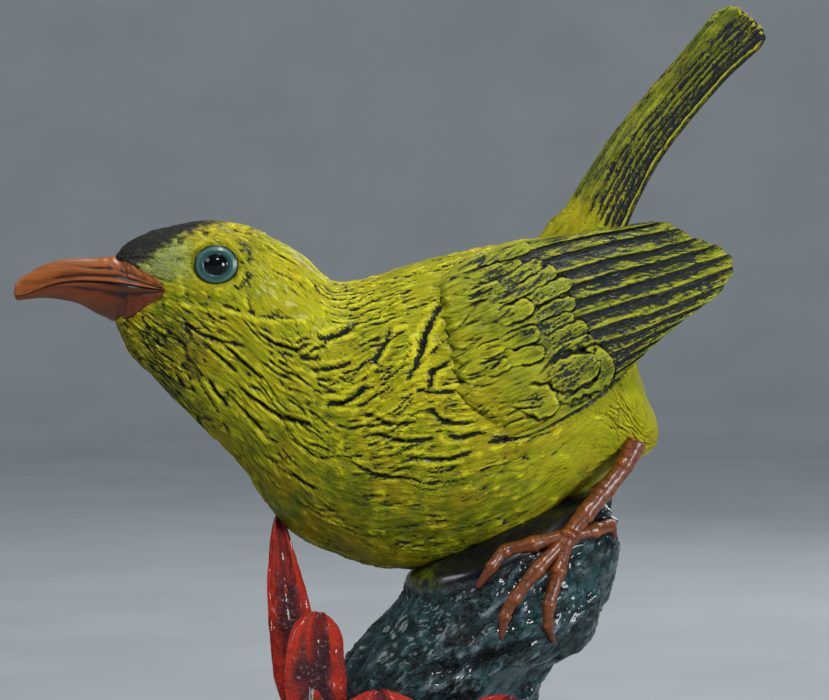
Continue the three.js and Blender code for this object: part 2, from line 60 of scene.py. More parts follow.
MM = 0.001
BIRD_LENGTH = 186.0
UNIT = BIRD_LENGTH / 99.0
PERCH_HEIGHT = 117.5
TRUNK_WIDTH = 50.0
TRUNK_DEPTH = 44.0
BARK_RELIEF = 2.2
BASE_WIDTH = 112.0
BASE_DEPTH = 100.0
BASE_HEIGHT = 11.0
FLOWER_SIZE = 70.0
PETAL_THICKNESS = 5.0

Array = np.ndarray
Socket = bpy.types.NodeSocket


class Side(Enum):
    """The two sides of the bird."""

    LEFT = -1
    RIGHT = 1


# ---------------------------------------------------------------- numbers


def mix(a: float | Array, b: float | Array, share: float | Array) -> float | Array:
    """Value between a and b."""
    return a + (b - a) * share


def smooth(x: float | Array, start: float, end: float) -> Array:
    """Soft step from 0 at start to 1 at end."""
    f = np.clip((np.asarray(x, float) - start) / (end - start), 0.0, 1.0)
    return f * f * (3.0 - 2.0 * f)


def bump(x: float | Array) -> Array:
    """Half a sine wave over 0 to 1."""
    return np.sin(np.pi * np.clip(x, 0.0, 1.0))


def bell(x: float | Array, middle: float | Array, width: float) -> Array:
    """Round hill of height 1."""
    return np.exp(-(((x - middle) / width) ** 2))


def unit(v: Array) -> Array:
    """Vectors of length 1."""
    return v / np.maximum(np.linalg.norm(v, axis=-1, keepdims=True), 1e-12)


def stacked(x: float | Array, y: float | Array = 0.0, z: float | Array = 0.0) -> Array:
    """Points or vectors out of their three parts, which may be single numbers."""
    return np.stack(np.broadcast_arrays(x, y, z), axis=-1)


def turns(sides: int) -> Array:
    """The angles of that many sides all round, in one row."""
    return 2 * np.pi * np.arange(sides)[None, :] / sides


HASH = (73856093, 19349663, 83492791)


def noise(points: Array, seed: int = 0) -> Array:
    """Smooth noise, about -0.7 to 0.7, one hill per unit of distance.

    Args:
        points: coordinates, three to a row.
        seed: picks another pattern.

    Returns:
        One value for each row.
    """
    cell = np.floor(points).astype(np.int64)
    f = points - cell
    fade = f * f * f * (f * (f * 6.0 - 15.0) + 10.0)
    total = np.zeros(points.shape[:-1])
    for dx in (0, 1):
        for dy in (0, 1):
            for dz in (0, 1):
                mixed = (cell[..., 0] + dx) * HASH[0] ^ (cell[..., 1] + dy) * HASH[1]
                mixed = (mixed ^ (cell[..., 2] + dz) * HASH[2] ^ (seed * 2654435 + 97)) & 0x7FFFFFFF
                mixed = ((mixed ^ (mixed >> 13)) * 1274126177) & 0x3FFFFFFF
                mixed ^= mixed >> 15
                slope = [((mixed >> shift) & 511) / 255.5 - 1.0 for shift in (0, 9, 18)]
                part = (
                    slope[0] * (f[..., 0] - dx)
                    + slope[1] * (f[..., 1] - dy)
                    + slope[2] * (f[..., 2] - dz)
                )
                share = np.where(dx, fade[..., 0], 1.0 - fade[..., 0])
                share = share * np.where(dy, fade[..., 1], 1.0 - fade[..., 1])
                total += part * share * np.where(dz, fade[..., 2], 1.0 - fade[..., 2])
    return total


def layered(points: Array, octaves: int, seed: int = 0) -> Array:
    """Noise with ever finer and weaker layers.

    Args:
        points: coordinates, three to a row.
        octaves: how many layers.
        seed: picks another pattern.

    Returns:
        One value for each row.
    """
    total, weight = np.zeros(points.shape[:-1]), 1.0
    for k in range(octaves):
        total = total + weight * noise(points * 2.03**k, seed + 11 * k)
        weight *= 0.5
    return total


def ridged(points: Array, octaves: int, seed: int = 0) -> Array:
    """Noise with sharp crests, 0 to about 1, with the same arguments as layered."""
    total, weight, whole = np.zeros(points.shape[:-1]), 1.0, 0.0
    for k in range(octaves):
        total = (
            total
            + weight
            * (1.0 - np.minimum(np.abs(noise(points * 2.03**k, seed + 11 * k)) * 2.4, 1.0)) ** 2
        )
        whole += weight
        weight *= 0.5
    return total / whole


class Table:
    """Rows of numbers with a smooth curve through them."""

    def __init__(self, rows: list) -> None:
        """Keeps the rows and a dense list of points along the curve.

        Args:
            rows: lists of numbers, all of one length.
        """
        self.rows = np.array(rows, float)
        self.last = len(self.rows) - 1
        self._dense = self.at(np.linspace(0.0, self.last, 240 * self.last + 1))

    def at(self, t: float | Array) -> Array:
        """The row at t, where row i is met at t = i."""
        t = np.asarray(t, float)
        i = np.clip(np.floor(t).astype(int), 0, self.last - 1)
        f = (t - i)[..., None]
        b, c = self.rows[i], self.rows[i + 1]
        a, d = self.rows[np.maximum(i - 1, 0)], self.rows[np.minimum(i + 2, self.last)]
        m0 = np.where((i == 0)[..., None], c - b, (c - a) / 2)
        m1 = np.where((i == self.last - 1)[..., None], c - b, (d - b) / 2)
        f2, f3 = f * f, f * f * f
        return (
            (2 * f3 - 3 * f2 + 1) * b
            + (f3 - 2 * f2 + f) * m0
            + (3 * f2 - 2 * f3) * c
            + (f3 - f2) * m1
        )

    def share(self, f: float | Array) -> Array:
        """The row at a share of the whole curve."""
        return self.at(np.asarray(f, float) * self.last)

    def where(self, value: float | Array) -> Array:
        """The row whose first column, which only rises, holds the value."""
        value = np.asarray(value, float)
        first = self._dense[:, 0]
        return np.stack(
            [np.interp(value, first, self._dense[:, k]) for k in range(1, self.rows.shape[1])],
            axis=-1,
        )


# ---------------------------------------------------------------- meshes


def new_object(name: str) -> bpy.types.Object:
    """The object that the last primitive made, under its own name."""
    obj = bpy.context.active_object
    obj.name = name
    obj.data.name = name
    return obj


def coordinates(obj: bpy.types.Object) -> Array:
    """The vertices of an object."""
    flat = np.zeros(len(obj.data.vertices) * 3)
    obj.data.vertices.foreach_get("co", flat)
    return flat.reshape(-1, 3)


def place(obj: bpy.types.Object, points: Array) -> None:
    """Moves the vertices to points that are in millimetres."""
    obj.data.vertices.foreach_set("co", (points * MM).ravel())
    obj.data.update()


def face_outwards(obj: bpy.types.Object) -> None:
    """Turns every face outwards."""
    bpy.ops.object.select_all(action="DESELECT")
    obj.select_set(True)
    bpy.context.view_layer.objects.active = obj
    bpy.ops.object.mode_set(mode="EDIT")
    bpy.ops.mesh.select_all(action="SELECT")
    bpy.ops.mesh.normals_make_consistent(inside=False)
    bpy.ops.object.mode_set(mode="OBJECT")


@dataclass
class Ball:
    """A closed surface of rings between two end points, started from a UV sphere."""

    name: str
    rings: int
    sides: int

    def __post_init__(self) -> None:
        """Makes the sphere and finds the ring and side of each vertex."""
        bpy.ops.object.select_all(action="DESELECT")
        bpy.ops.mesh.primitive_uv_sphere_add(
            segments=self.sides, ring_count=self.rings + 1, radius=1.0
        )
        self.obj = new_object(self.name)
        co = coordinates(self.obj)
        self.ring = np.rint(np.arccos(np.clip(co[:, 2], -1, 1)) / np.pi * (self.rings + 1)).astype(
            int
        )
        turn = np.arctan2(co[:, 1], co[:, 0]) / (2 * np.pi) * self.sides
        self.side = np.rint(turn).astype(int) % self.sides

    def spread(self, grid: Array, first: Array, last: Array) -> Array:
        """Values of a (rings, sides) grid for each vertex, with the two ends' own."""
        inner = grid[np.clip(self.ring - 1, 0, self.rings - 1), self.side]
        ends = (self.ring == 0) | (self.ring == self.rings + 1)
        shape = (-1,) + (1,) * (inner.ndim - 1)
        end = np.where(
            (self.ring == 0).reshape(shape), np.asarray(first, float), np.asarray(last, float)
        )
        return np.where(ends.reshape(shape), end, inner)

    def build(self, grid: Array, first: Array, last: Array) -> bpy.types.Object:
        """Lays the rings out in millimetres.

        Args:
            grid: the rings of points, from the first end to the last.
            first: the point that closes the first end.
            last: the point that closes the last end.

        Returns:
            The finished object.
        """
        place(self.obj, self.spread(grid, first, last))
        face_outwards(self.obj)
        return self.obj

    def paint(self, **masks: Array) -> None:
        """Stores masks of 0 to 1, or vectors, with the vertices."""
        for name, grid in masks.items():
            kept = grid if grid.ndim == 3 else np.clip(grid, 0, 1)
            first, last = kept[0].mean(axis=0), kept[-1].mean(axis=0)
            store(self.obj, **{name: self.spread(kept, first, last)})


def store(obj: bpy.types.Object, **masks: Array) -> None:
    """Keeps masks of 0 to 1, or vectors, with the vertices of an object."""
    for name, values in masks.items():
        vector = values.ndim == 2
        layer = obj.data.attributes.new(name, "FLOAT_VECTOR" if vector else "FLOAT", "POINT")
        kept = values if vector else np.clip(values, 0, 1)
        layer.data.foreach_set("vector" if vector else "value", kept.astype(np.float32).ravel())


def ring_normals(grid: Array) -> Array:
    """Outward normals of rings of points.

    Args:
        grid: points, rings first.

    Returns:
        One vector of length 1 for each point.
    """
    along = np.gradient(grid, axis=0)
    around = np.roll(grid, -1, axis=1) - np.roll(grid, 1, axis=1)
    normal = unit(np.cross(around, along))
    outward = np.sum(normal * (grid - grid.mean(axis=1, keepdims=True)), axis=-1).mean()
    return normal if outward > 0 else -normal


def hollows(height: Array, reach: int = 3, closed: bool = True) -> Array:
    """How far the surroundings stand above each point of a grid of heights.

    Args:
        height: heights in millimetres, rings first.
        reach: how many points to either side count as the surroundings.
        closed: whether the last side meets the first one.

    Returns:
        Positive values in hollows, negative ones on crests.
    """
    span = 2 * reach + 1
    padded = np.pad(height, ((0, 0), (reach, reach)), mode="wrap" if closed else "edge")
    mean = sum(padded[:, k:k + height.shape[1]] for k in range(span)) / span
    padded = np.pad(mean, ((reach, reach), (0, 0)), mode="edge")
    return sum(padded[k:k + height.shape[0]] for k in range(span)) / span - height


def finish_piece(
    obj: bpy.types.Object, material: bpy.types.Material, slot: str, *nodes: str
) -> None:
    """Shades, paints and hangs a piece on the body, in place of CAD nodes.

    Args:
        obj: the piece.
        material: its paint.
        slot: the name of the paint's slot; not used.
        nodes: the CAD nodes that it stands for.
    """
    obj.data.materials.clear()
    obj.data.materials.append(material)
    obj.data.polygons.foreach_set("use_smooth", np.ones(len(obj.data.polygons), bool))
    obj.data.update()
    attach(obj, "root")
    if nodes:
        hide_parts(*nodes)
    log.info("%s: %d vertices, %d faces", obj.name, len(obj.data.vertices), len(obj.data.polygons))


def join(name: str, parts: list) -> bpy.types.Object:
    """Makes one piece of several that are cast together.

    Args:
        name: the name of the whole.
        parts: the objects, of which the first takes up the others.

    Returns:
        The whole.
    """
    bpy.ops.object.select_all(action="DESELECT")
    for part in parts:
        part.select_set(True)
    bpy.context.view_layer.objects.active = parts[0]
    bpy.ops.object.join()
    return new_object(name)


# ---------------------------------------------------------------- materials


@dataclass
class Nodes:
    """A node tree that is written as nested calls."""

    name: str

    def __post_init__(self) -> None:
        """Starts an empty material."""
        self.material = bpy.data.materials.new(self.name)
        self.material.use_nodes = True
        self.tree = self.material.node_tree
        self.tree.nodes.clear()

    def add(self, kind: str, inputs: dict, output: int | str = 0, **settings: object) -> Socket:
        """Adds a node and sets or links its inputs.

        Args:
            kind: the node's type.
            inputs: numbers, colours or sockets, by the input's name or number.
            output: the name or number of the wanted output.
            settings: the node's own properties.

        Returns:
            The wanted output.
        """
        node = self.tree.nodes.new(kind)
        for key, value in settings.items():
            setattr(node, key, value)
        for key, value in inputs.items():
            socket = node.inputs[key]
            if isinstance(value, bpy.types.NodeSocket):
                self.tree.links.new(value, socket)
            elif socket.type == "RGBA" and len(value) == 3:
                socket.default_value = (*value, 1.0)
            else:
                socket.default_value = value
        return node.outputs[output]

    def mask(self, name: str) -> Socket:
        """A stored number."""
        return self.add("ShaderNodeAttribute", {}, "Fac", attribute_name=name)

    def stored(self, name: str) -> Socket:
        """A stored vector."""
        return self.add("ShaderNodeAttribute", {}, "Vector", attribute_name=name)

    def where(self) -> Socket:
        """The place on the object, in metres."""
        return self.add("ShaderNodeTexCoord", {}, "Object")

    def math(self, kind: str, *values: Socket | float, clamp: bool = False) -> Socket:
        """One step of arithmetic, kept within 0 to 1 if clamp is set."""
        return self.add("ShaderNodeMath", dict(enumerate(values)), operation=kind, use_clamp=clamp)

    def plus(self, *values: Socket | float, clamp: bool = False) -> Socket:
        """The sum of two values."""
        return self.math("ADD", *values, clamp=clamp)

    def minus(self, *values: Socket | float, clamp: bool = False) -> Socket:
        """The first value less the second one."""
        return self.math("SUBTRACT", *values, clamp=clamp)

    def times(self, *values: Socket | float) -> Socket:
        """The product of two values."""
        return self.math("MULTIPLY", *values)

    def step(
        self, value: Socket, start: float, end: float, low: float = 0.0, high: float = 1.0
    ) -> Socket:
        """Soft step of a value from start to end, which gives low to high."""
        sockets = {
            "Value": value, "From Min": start, "From Max": end, "To Min": low, "To Max": high
        }
        return self.add("ShaderNodeMapRange", sockets, interpolation_type="SMOOTHSTEP")

    def noise(self, vector: Socket, scale: float, detail: float, roughness: float) -> Socket:
        """Noise of 0 to 1."""
        sockets = {"Vector": vector, "Scale": scale, "Detail": detail, "Roughness": roughness}
        return self.add("ShaderNodeTexNoise", sockets)

    def off(self, value: Socket, weight: float) -> Socket:
        """How far a noise stands off its middle, weighted."""
        return self.times(self.minus(value, 0.5), weight)

    def line(self, value: Socket, level: float, width: float) -> Socket:
        """1 on a thin line where the value passes a level."""
        return self.step(self.math("ABSOLUTE", self.minus(value, level)), width, 0.0)

    def blend(self, share: Socket, first: Socket | tuple, second: Socket | tuple) -> Socket:
        """The first colour where the share is 0, the second where it is 1."""
        return self.add("ShaderNodeMix", {0: share, 6: first, 7: second}, 2, data_type="RGBA")

    def finish(
        self,
        colour: Socket,
        rough: Socket | float,
        height: Socket,
        relief: float,
        **constants: float,
    ) -> bpy.types.Material:
        """Ends the tree in a lacquered surface.

        Args:
            colour: colour output.
            rough: roughness output or number.
            height: output that is raised.
            relief: how far it is raised, in metres.
            constants: plain values of the shader's own inputs.

        Returns:
            The finished material.
        """
        bumped = self.add("ShaderNodeBump", {"Height": height, "Distance": relief, "Strength": 1.0})
        inputs = {"Base Color": colour, "Roughness": rough, "Normal": bumped}
        inputs.update({name.replace("_", " "): value for name, value in constants.items()})
        shader = self.add("ShaderNodeBsdfPrincipled", inputs)
        out = self.tree.nodes.new("ShaderNodeOutputMaterial")
        self.tree.links.new(shader, out.inputs["Surface"])
        return self.material


@dataclass(frozen=True)
class PlumagePaint:
    """Yellow dry-brushed over a dark wash, with painted highlights and shade, under lacquer."""

    # bright: the pale crests, partly dry-brushing and partly painted highlights
    bright: tuple = (0.62, 0.58, 0.012)
    yellow: tuple = (0.345, 0.335, 0.003)
    olive: tuple = (0.105, 0.125, 0.003)
    ochre: tuple = (0.36, 0.26, 0.003)
    lime: tuple = (0.33, 0.38, 0.03)
    moss: tuple = (0.080, 0.105, 0.010)
    wash: tuple = (0.011, 0.015, 0.012)
    slate: tuple = (0.022, 0.025, 0.030)
    cap: tuple = (0.017, 0.019, 0.019)
    lore: tuple = (0.26, 0.31, 0.12)

    def make(self) -> bpy.types.Material:
        """The material of the body, the wings and the tail."""
        n = Nodes("plumage_paint")
        flow = n.stored("flow")
        where = n.where()
        streak = n.noise(flow, 0.95, 5.0, 0.62)
        fine = n.noise(flow, 3.0, 4.0, 0.62)
        blotch = n.noise(where, 85.0, 6.0, 0.68)
        speck = n.noise(where, 1500.0, 3.0, 0.7)
        patch = n.noise(where, 150.0, 2.0, 0.5)
        groove, ridge, tone, dry = n.mask("groove"), n.mask("ridge"), n.mask("tone"), n.mask("dry")
        dark_line = n.line(n.noise(flow, 0.50, 3.0, 0.5), 0.5, 0.030)
        dark_line = n.times(dark_line, n.step(patch, 0.45, 0.6))
        # thin raised threads, painted as highlights
        highlight_line = n.times(
            n.line(n.noise(flow, 0.55, 2.0, 0.5), 0.55, 0.02), n.step(patch, 0.62, 0.45)
        )
        shade = n.plus(tone, n.off(blotch, 1.3))
        shade = n.plus(shade, n.off(streak, 1.5), clamp=True)
        colour = n.blend(n.step(shade, 0.12, 0.88), self.olive, self.yellow)
        colour = n.blend(
            n.step(n.noise(where, 48.0, 3.0, 0.6), 0.48, 0.62, 0.0, 0.6), colour, self.ochre
        )
        # pale crests and threads: dry-brushing and painted highlights
        light = n.plus(ridge, n.plus(n.off(fine, 1.3), n.times(highlight_line, 0.8)), clamp=True)
        light = n.times(n.step(light, 0.4, 1.0), n.step(shade, 0.1, 0.8, 0.25, 1.0))
        colour = n.blend(light, colour, self.bright)
        green = n.blend(n.step(n.plus(shade, n.times(ridge, 0.3)), 0.2, 0.9), self.moss, self.lime)
        colour = n.blend(n.times(dry, n.step(ridge, 0.0, 1.0, 0.8, 0.6)), colour, green)
        colour = n.blend(
            n.times(n.mask("lore"), n.step(streak, 0.35, 0.6, 0.2, 0.9)), colour, self.lore
        )
        brushed = n.times(n.off(fine, 1.0), n.plus(n.times(dry, 2.0), 0.6))
        dark = n.plus(groove, n.plus(brushed, n.off(streak, -0.8)))
        dark = n.plus(dark, n.times(dark_line, 0.5))
        dark = n.plus(dark, n.times(n.off(speck, 2.8), dry))
        dark = n.plus(dark, n.times(n.off(blotch, -0.5), n.minus(1.0, dry)), clamp=True)
        # the dark colour lays the wash in the hollows and the painted shade that the groove mask
        # carries
        colour = n.blend(n.step(dark, 0.22, 0.72), colour, n.blend(dry, self.wash, self.slate))
        cap = n.minus(n.mask("cap"), n.times(n.step(fine, 0.55, 0.7), 0.3), clamp=True)
        colour = n.blend(cap, colour, self.cap)
        height = n.plus(n.times(fine, 0.35), n.times(streak, 0.5))
        height = n.plus(height, n.times(n.minus(highlight_line, dark_line), 0.3))
        height = n.plus(height, n.times(n.times(speck, dry), 0.5))
        rough = n.step(fine, 0.3, 0.7, 0.40, 0.60)
        return n.finish(
            colour,
            rough,
            height,
            0.0007,
            Coat_Weight=0.08,
            Coat_Roughness=0.14,
            Specular_IOR_Level=0.08,
        )


@dataclass(frozen=True)
class HornPaint:
    """Orange-brown, glossy, for the bill and the legs."""

    light: tuple = (0.31, 0.090, 0.015)
    brown: tuple = (0.13, 0.029, 0.006)
    dark: tuple = (0.03, 0.009, 0.005)

    def make(self) -> bpy.types.Material:
        """The material of the bill and the legs."""
        n = Nodes("horn_paint")
        flow = n.stored("flow")
        streak = n.noise(flow, 0.45, 5.0, 0.55)
        fine = n.noise(flow, 3.0, 4.0, 0.6)
        tone = n.plus(n.mask("tone"), n.off(streak, 1.3), clamp=True)
        colour = n.blend(n.step(tone, 0.1, 0.9), self.brown, self.light)
        dark = n.plus(n.mask("groove"), n.off(fine, 0.5), clamp=True)
        colour = n.blend(n.step(dark, 0.2, 0.7), colour, self.dark)
        rough = n.step(fine, 0.3, 0.7, 0.28, 0.45)
        return n.finish(
            colour,
            rough,
            n.plus(fine, streak),
            0.0002,
            Coat_Weight=0.6,
            Coat_Roughness=0.24,
            Specular_IOR_Level=0.2,
        )


@dataclass(frozen=True)
class EyePaint:
    """A black glossy pupil in a teal ring."""

    pupil: tuple = (0.003, 0.003, 0.005)
    teal: tuple = (0.020, 0.070, 0.073)
    pale: tuple = (0.052, 0.14, 0.115)
    line: tuple = (0.006, 0.014, 0.012)

    def make(self) -> bpy.types.Material:
        """The material of the eyes."""
        n = Nodes("eye_paint")
        reach = n.mask("reach")
        blotch = n.noise(n.where(), 900.0, 3.0, 0.6)
        colour = n.blend(
            n.step(n.plus(reach, n.off(blotch, 0.35)), 0.6, 0.85), self.teal, self.pale
        )
        colour = n.blend(n.line(reach, 0.52, 0.06), colour, self.line)
        colour = n.blend(n.times(n.line(reach, 0.71, 0.03), 0.7), colour, self.line)
        colour = n.blend(n.step(reach, 0.86, 0.95), colour, self.line)
        colour = n.blend(n.step(reach, 0.53, 0.49), colour, self.pupil)
        rough = n.step(reach, 0.5, 0.6, 0.1, 0.35)
        return n.finish(
            colour,
            rough,
            blotch,
            0.00004,
            Coat_Weight=0.15,
            Coat_Roughness=0.05,
            Specular_IOR_Level=0.25,
        )


@dataclass(frozen=True)
class BarkPatina:
    """Blue-black patina with a teal bloom, and pale crests, dry-brushed and painted as glints."""

    black: tuple = (0.005, 0.008, 0.010)
    teal: tuple = (0.010, 0.070, 0.075)
    blue: tuple = (0.045, 0.075, 0.100)
    # pale: the painted glints on the crests
    pale: tuple = (0.22, 0.30, 0.34)
    slick: tuple = (0.004, 0.005, 0.008)
    green: tuple = (0.085, 0.115, 0.006)

    def make(self) -> bpy.types.Material:
        """The material of the stump and the ground."""
        n = Nodes("bark_patina")
        where = n.where()
        coarse = n.noise(where, 60.0, 5.0, 0.65)
        drawn = n.add(
            "ShaderNodeMapping",
            {"Vector": where, "Rotation": (0, -0.65, 0), "Scale": (2.6, 1, 1)},
            vector_type="TEXTURE",
        )
        fine = n.noise(drawn, 430.0, 5.0, 0.7)
        middle = n.noise(drawn, 190.0, 4.0, 0.6)
        crack = n.times(n.line(middle, 0.5, 0.035), n.minus(1.0, n.mask("band")))
        tone = n.plus(n.mask("tone"), n.off(coarse, 2.0), clamp=True)
        colour = n.blend(n.step(tone, 0.1, 0.9), self.black, self.teal)
        colour = n.blend(
            n.step(n.plus(coarse, n.off(fine, 0.8)), 0.46, 0.62, 0.0, 0.5), colour, self.blue
        )
        # pale painted glints on the crests
        light = n.times(n.mask("ridge"), n.step(fine, 0.44, 0.58))
        colour = n.blend(n.times(light, 0.7), colour, self.pale)
        dark = n.plus(n.mask("groove"), n.times(crack, 0.7), clamp=True)
        colour = n.blend(n.times(dark, 0.92), colour, self.black)
        colour = n.blend(n.mask("band"), colour, self.slick)
        colour = n.blend(n.mask("moss"), colour, self.green)
        rough = n.minus(n.step(fine, 0.3, 0.7, 0.3, 0.5), n.times(n.mask("band"), 0.1))
        grain = n.plus(fine, n.times(middle, 1.5))
        grain = n.minus(n.times(grain, n.minus(1.0, n.mask("band"))), n.times(crack, 0.25))
        return n.finish(
            colour,
            rough,
            grain,
            0.0024,
            Coat_Weight=0.5,
            Coat_Roughness=0.12,
            Specular_IOR_Level=0.25,
        )


@dataclass(frozen=True)
class PetalPaint:
    """Glossy red over maroon, with pale specks: worn paint and painted glints."""

    red: tuple = (0.46, 0.030, 0.013)
    maroon: tuple = (0.042, 0.012, 0.016)
    speck: tuple = (0.42, 0.26, 0.26)

    def make(self) -> bpy.types.Material:
        """The material of the flower."""
        n = Nodes("petal_paint")
        where = n.where()
        blotch = n.noise(where, 90.0, 5.0, 0.6)
        fine = n.noise(where, 1000.0, 4.0, 0.7)
        tone = n.plus(n.mask("tone"), n.off(blotch, 1.5), clamp=True)
        colour = n.blend(n.step(tone, 0.1, 0.9), self.maroon, self.red)
        colour = n.blend(n.times(n.mask("groove"), 0.85), colour, self.maroon)
        # pale specks on the darker parts: worn paint and painted glints
        specks_and_glints = n.times(n.step(fine, 0.55, 0.66), n.step(tone, 0.62, 0.25, 0.03, 0.5))
        colour = n.blend(specks_and_glints, colour, self.speck)
        rough = n.step(fine, 0.3, 0.7, 0.28, 0.45)
        return n.finish(
            colour,
            rough,
            n.plus(fine, n.times(n.noise(where, 260.0, 3.0, 0.6), 2.0)),
            0.0012,
            Coat_Weight=0.25,
            Coat_Roughness=0.1,
            Specular_IOR_Level=0.2,
        )


# ---------------------------------------------------------------- the bird


def bird_x(x: float | Array) -> Array:
    """Millimetres along the bird, from its own units."""
    return np.asarray(x, float) * UNIT


def bird_z(z: float | Array) -> Array:
    """Millimetres above the ground, from the bird's own units."""
    return PERCH_HEIGHT + np.asarray(z, float) * UNIT


BODY_START, BODY_END = -44.2, 28.9
# x, top, bottom, half width, and how much wider above the middle than below.
BODY = Table([
    [-44.2, 37.9, 37.9, 0, 0], [-43.8, 40.2, 35.2, 1.6, 0], [-42.9, 42.3, 32.2, 2.6, 0],
    [-41, 44, 28.4, 3.9, 0.1],
    [-38.3, 45.2, 25.6, 5.1, 0.2], [-34.6, 46.1, 21.9, 6.1, 0.25], [-30.6, 46.6, 18, 6.8, 0.25],
    [-26.4, 46, 13.8, 7.5, 0.2], [-22.4, 44.3, 8, 8.3, 0.12], [-18.4, 41.8, 4.2, 9.5, 0.05],
    [-14, 38.3, 2.2, 10.9, 0],
    [-8.7, 39.1, 0.5, 12.3, -0.05], [-2.7, 40.9, 0.2, 13.4, -0.05], [4, 42.6, 1.1, 14, -0.05],
    [10.7, 43.8, 4.3, 13.4, 0],
    [16.2, 44.5, 8.3, 12, 0.02], [21.3, 43.2, 12, 9.9, 0.05], [24.3, 34, 13.6, 7.9, 0],
    [26.4, 26.4, 14.6, 6.1, 0],
    [27.9, 21.8, 15.7, 3.9, 0], [28.7, 19.9, 16.8, 2, 0], [29, 18.4, 18.4, 0, 0],
])
BILL = Table([
    [-56.6, 36.9, 36.9, 0], [-56.2, 38.3, 35.9, 0.5], [-55, 39.3, 35.9, 0.8],
    [-53.1, 40.4, 36.1, 1.1],
    [-50.6, 41.2, 35.9, 1.4], [-47.9, 41.5, 35.3, 1.7], [-45.3, 41.6, 33.9, 2.1],
    [-42.9, 41.8, 32.9, 2.9],
    [-41, 41, 33.4, 4], [-38.6, 39.8, 35.1, 5.4], [-36.8, 38.5, 36.1, 6], [-36, 37.3, 37.3, 6],
])
MOUTH = Table([
    [-56.6, 36.5], [-54.9, 36.7], [-51.9, 37.8], [-48.6, 38.4], [-45.3, 38.4], [-41.3, 38],
    [-36, 37.3]],
)
LIP = 0.25  # how far the bill's lower half stays inside the upper one, in its units
EYE_X, EYE_Z, EYE_RADIUS = -29.3, 40.7, 2.8
EYE_RIM = 0.86  # the share of the eye's rings that shows
EYE_SINK, PUPIL_HEIGHT, PUPIL_SHARE = 0.25, 2.15, 0.96  # millimetres, and a share of that height
CAP_EDGE = Table([
    [-46, 36.6], [-40.6, 39.4], [-38.6, 41.0], [-36.6, 42.5], [-33.3, 44.5], [-29.9, 45.8],
    [-24, 46.7]],
)

# The deepest cuts of the neck and the shoulder, seen from the side, in the bird's units:
# the points of each cut, its half width and its depth in millimetres.
CUTS = (
    (((-36.5, 35.8), (-28.3, 34.4), (-21.7, 33.2), (-17.0, 33.4)), 0.8, -0.6),
    (((-33.9, 33.3), (-30.6, 31.2), (-25.3, 29.9)), 0.42, 0.9),
    (((-24.6, 32.2), (-21.0, 30.2), (-17.5, 29.4)), 0.45, 1.0),
    (((-23.2, 31.0), (-19.6, 29.0), (-15.6, 28.6)), 0.5, 1.1),
    (((-32.0, 31.3), (-28.6, 28.3), (-26.6, 26.4)), 0.4, 0.9),
    (((-28.6, 30.4), (-25.2, 27.4), (-23.0, 25.6)), 0.5, 1.1),
    (((-16.4, 31.0), (-13.6, 31.6), (-10.6, 33.0)), 0.55, 1.2),
    (((-18.0, 27.3), (-14.2, 27.2), (-11.0, 28.4)), 0.5, 1.0),
    (((-15.2, 22.4), (-12.2, 23.2), (-9.4, 25.3)), 0.7, 1.3),
    (((-27.0, 25.0), (-24.0, 22.8), (-20.2, 20.6), (-16.2, 20.0)), 0.5, 1.1),
    (((-30.5, 25.5), (-29.2, 23.6), (-27.6, 21.6)), 0.5, 1.0),
    (((-25.8, 21.8), (-24.4, 20.0), (-22.4, 18.4)), 0.55, 1.1),
    (((-10.0, 21.6), (-6.4, 20.2), (-2.6, 20.6)), 0.5, 1.0),
    (((-8.6, 19.0), (-4.8, 18.0), (-0.6, 18.4)), 0.45, 0.9),
    (((-4.4, 16.0), (0.2, 15.6), (4.6, 16.8)), 0.5, 1.0),
    (((-3.2, 24.6), (0.8, 24.4), (4.0, 25.2)), 0.45, 0.9),
    (((0.6, 18.8), (2.8, 18.6), (5.4, 19.4)), 0.7, 1.2),
    (((-12.6, 15.6), (-8.0, 13.6), (-3.0, 13.0)), 0.4, 0.7),
    (((-21.0, 14.6), (-18.0, 12.4), (-15.4, 11.2)), 0.4, 0.7),
    (((0.2, 35.6), (-1.9, 32.2), (-2.6, 29.2), (-4.4, 25.8)), 0.75, 1.5),
    (((1.8, 28.8), (-0.9, 26.9), (-1.3, 24.6)), 0.6, 1.1),
    (((-1.2, 22.0), (0.8, 20.6), (4.5, 20.6)), 0.5, 1.0),
    (((5.9, 17.7), (9.5, 18.4), (13.6, 19.8)), 0.5, 1.1),
    (((-6.2, 33.0), (-7.6, 29.6), (-9.4, 27.2)), 0.5, 0.9),
)


def body_point(t: float | Array, angle: float | Array) -> Array:
    """Points on the plain body, in millimetres.

    Args:
        t: rows of the body's table.
        angle: turns round it, from the right side over the back.

    Returns:
        One point for each pair.
    """
    row = BODY.at(t)
    x, top, bottom, half_width, egg = (row[..., k] for k in range(5))
    side = half_width * UNIT * np.cos(angle) * (1 + egg * np.sin(angle))
    height = bird_z((top + bottom) / 2) + (top - bottom) / 2 * UNIT * np.sin(angle)
    return stacked(bird_x(x), side, height)


def body_rows(x: Array) -> Array:
    """Top, bottom, half width and egg of the body at x, all in its own units."""
    return BODY.where(np.clip(x, BODY_START, BODY_END))


def body_section(x: Array) -> tuple:
    """Middle, half height, half width and egg of the body at x, all in its own units."""
    top, bottom, half_width, egg = (body_rows(x)[..., k] for k in range(4))
    return (top + bottom) / 2, np.maximum((top - bottom) / 2, 0.1), half_width, egg


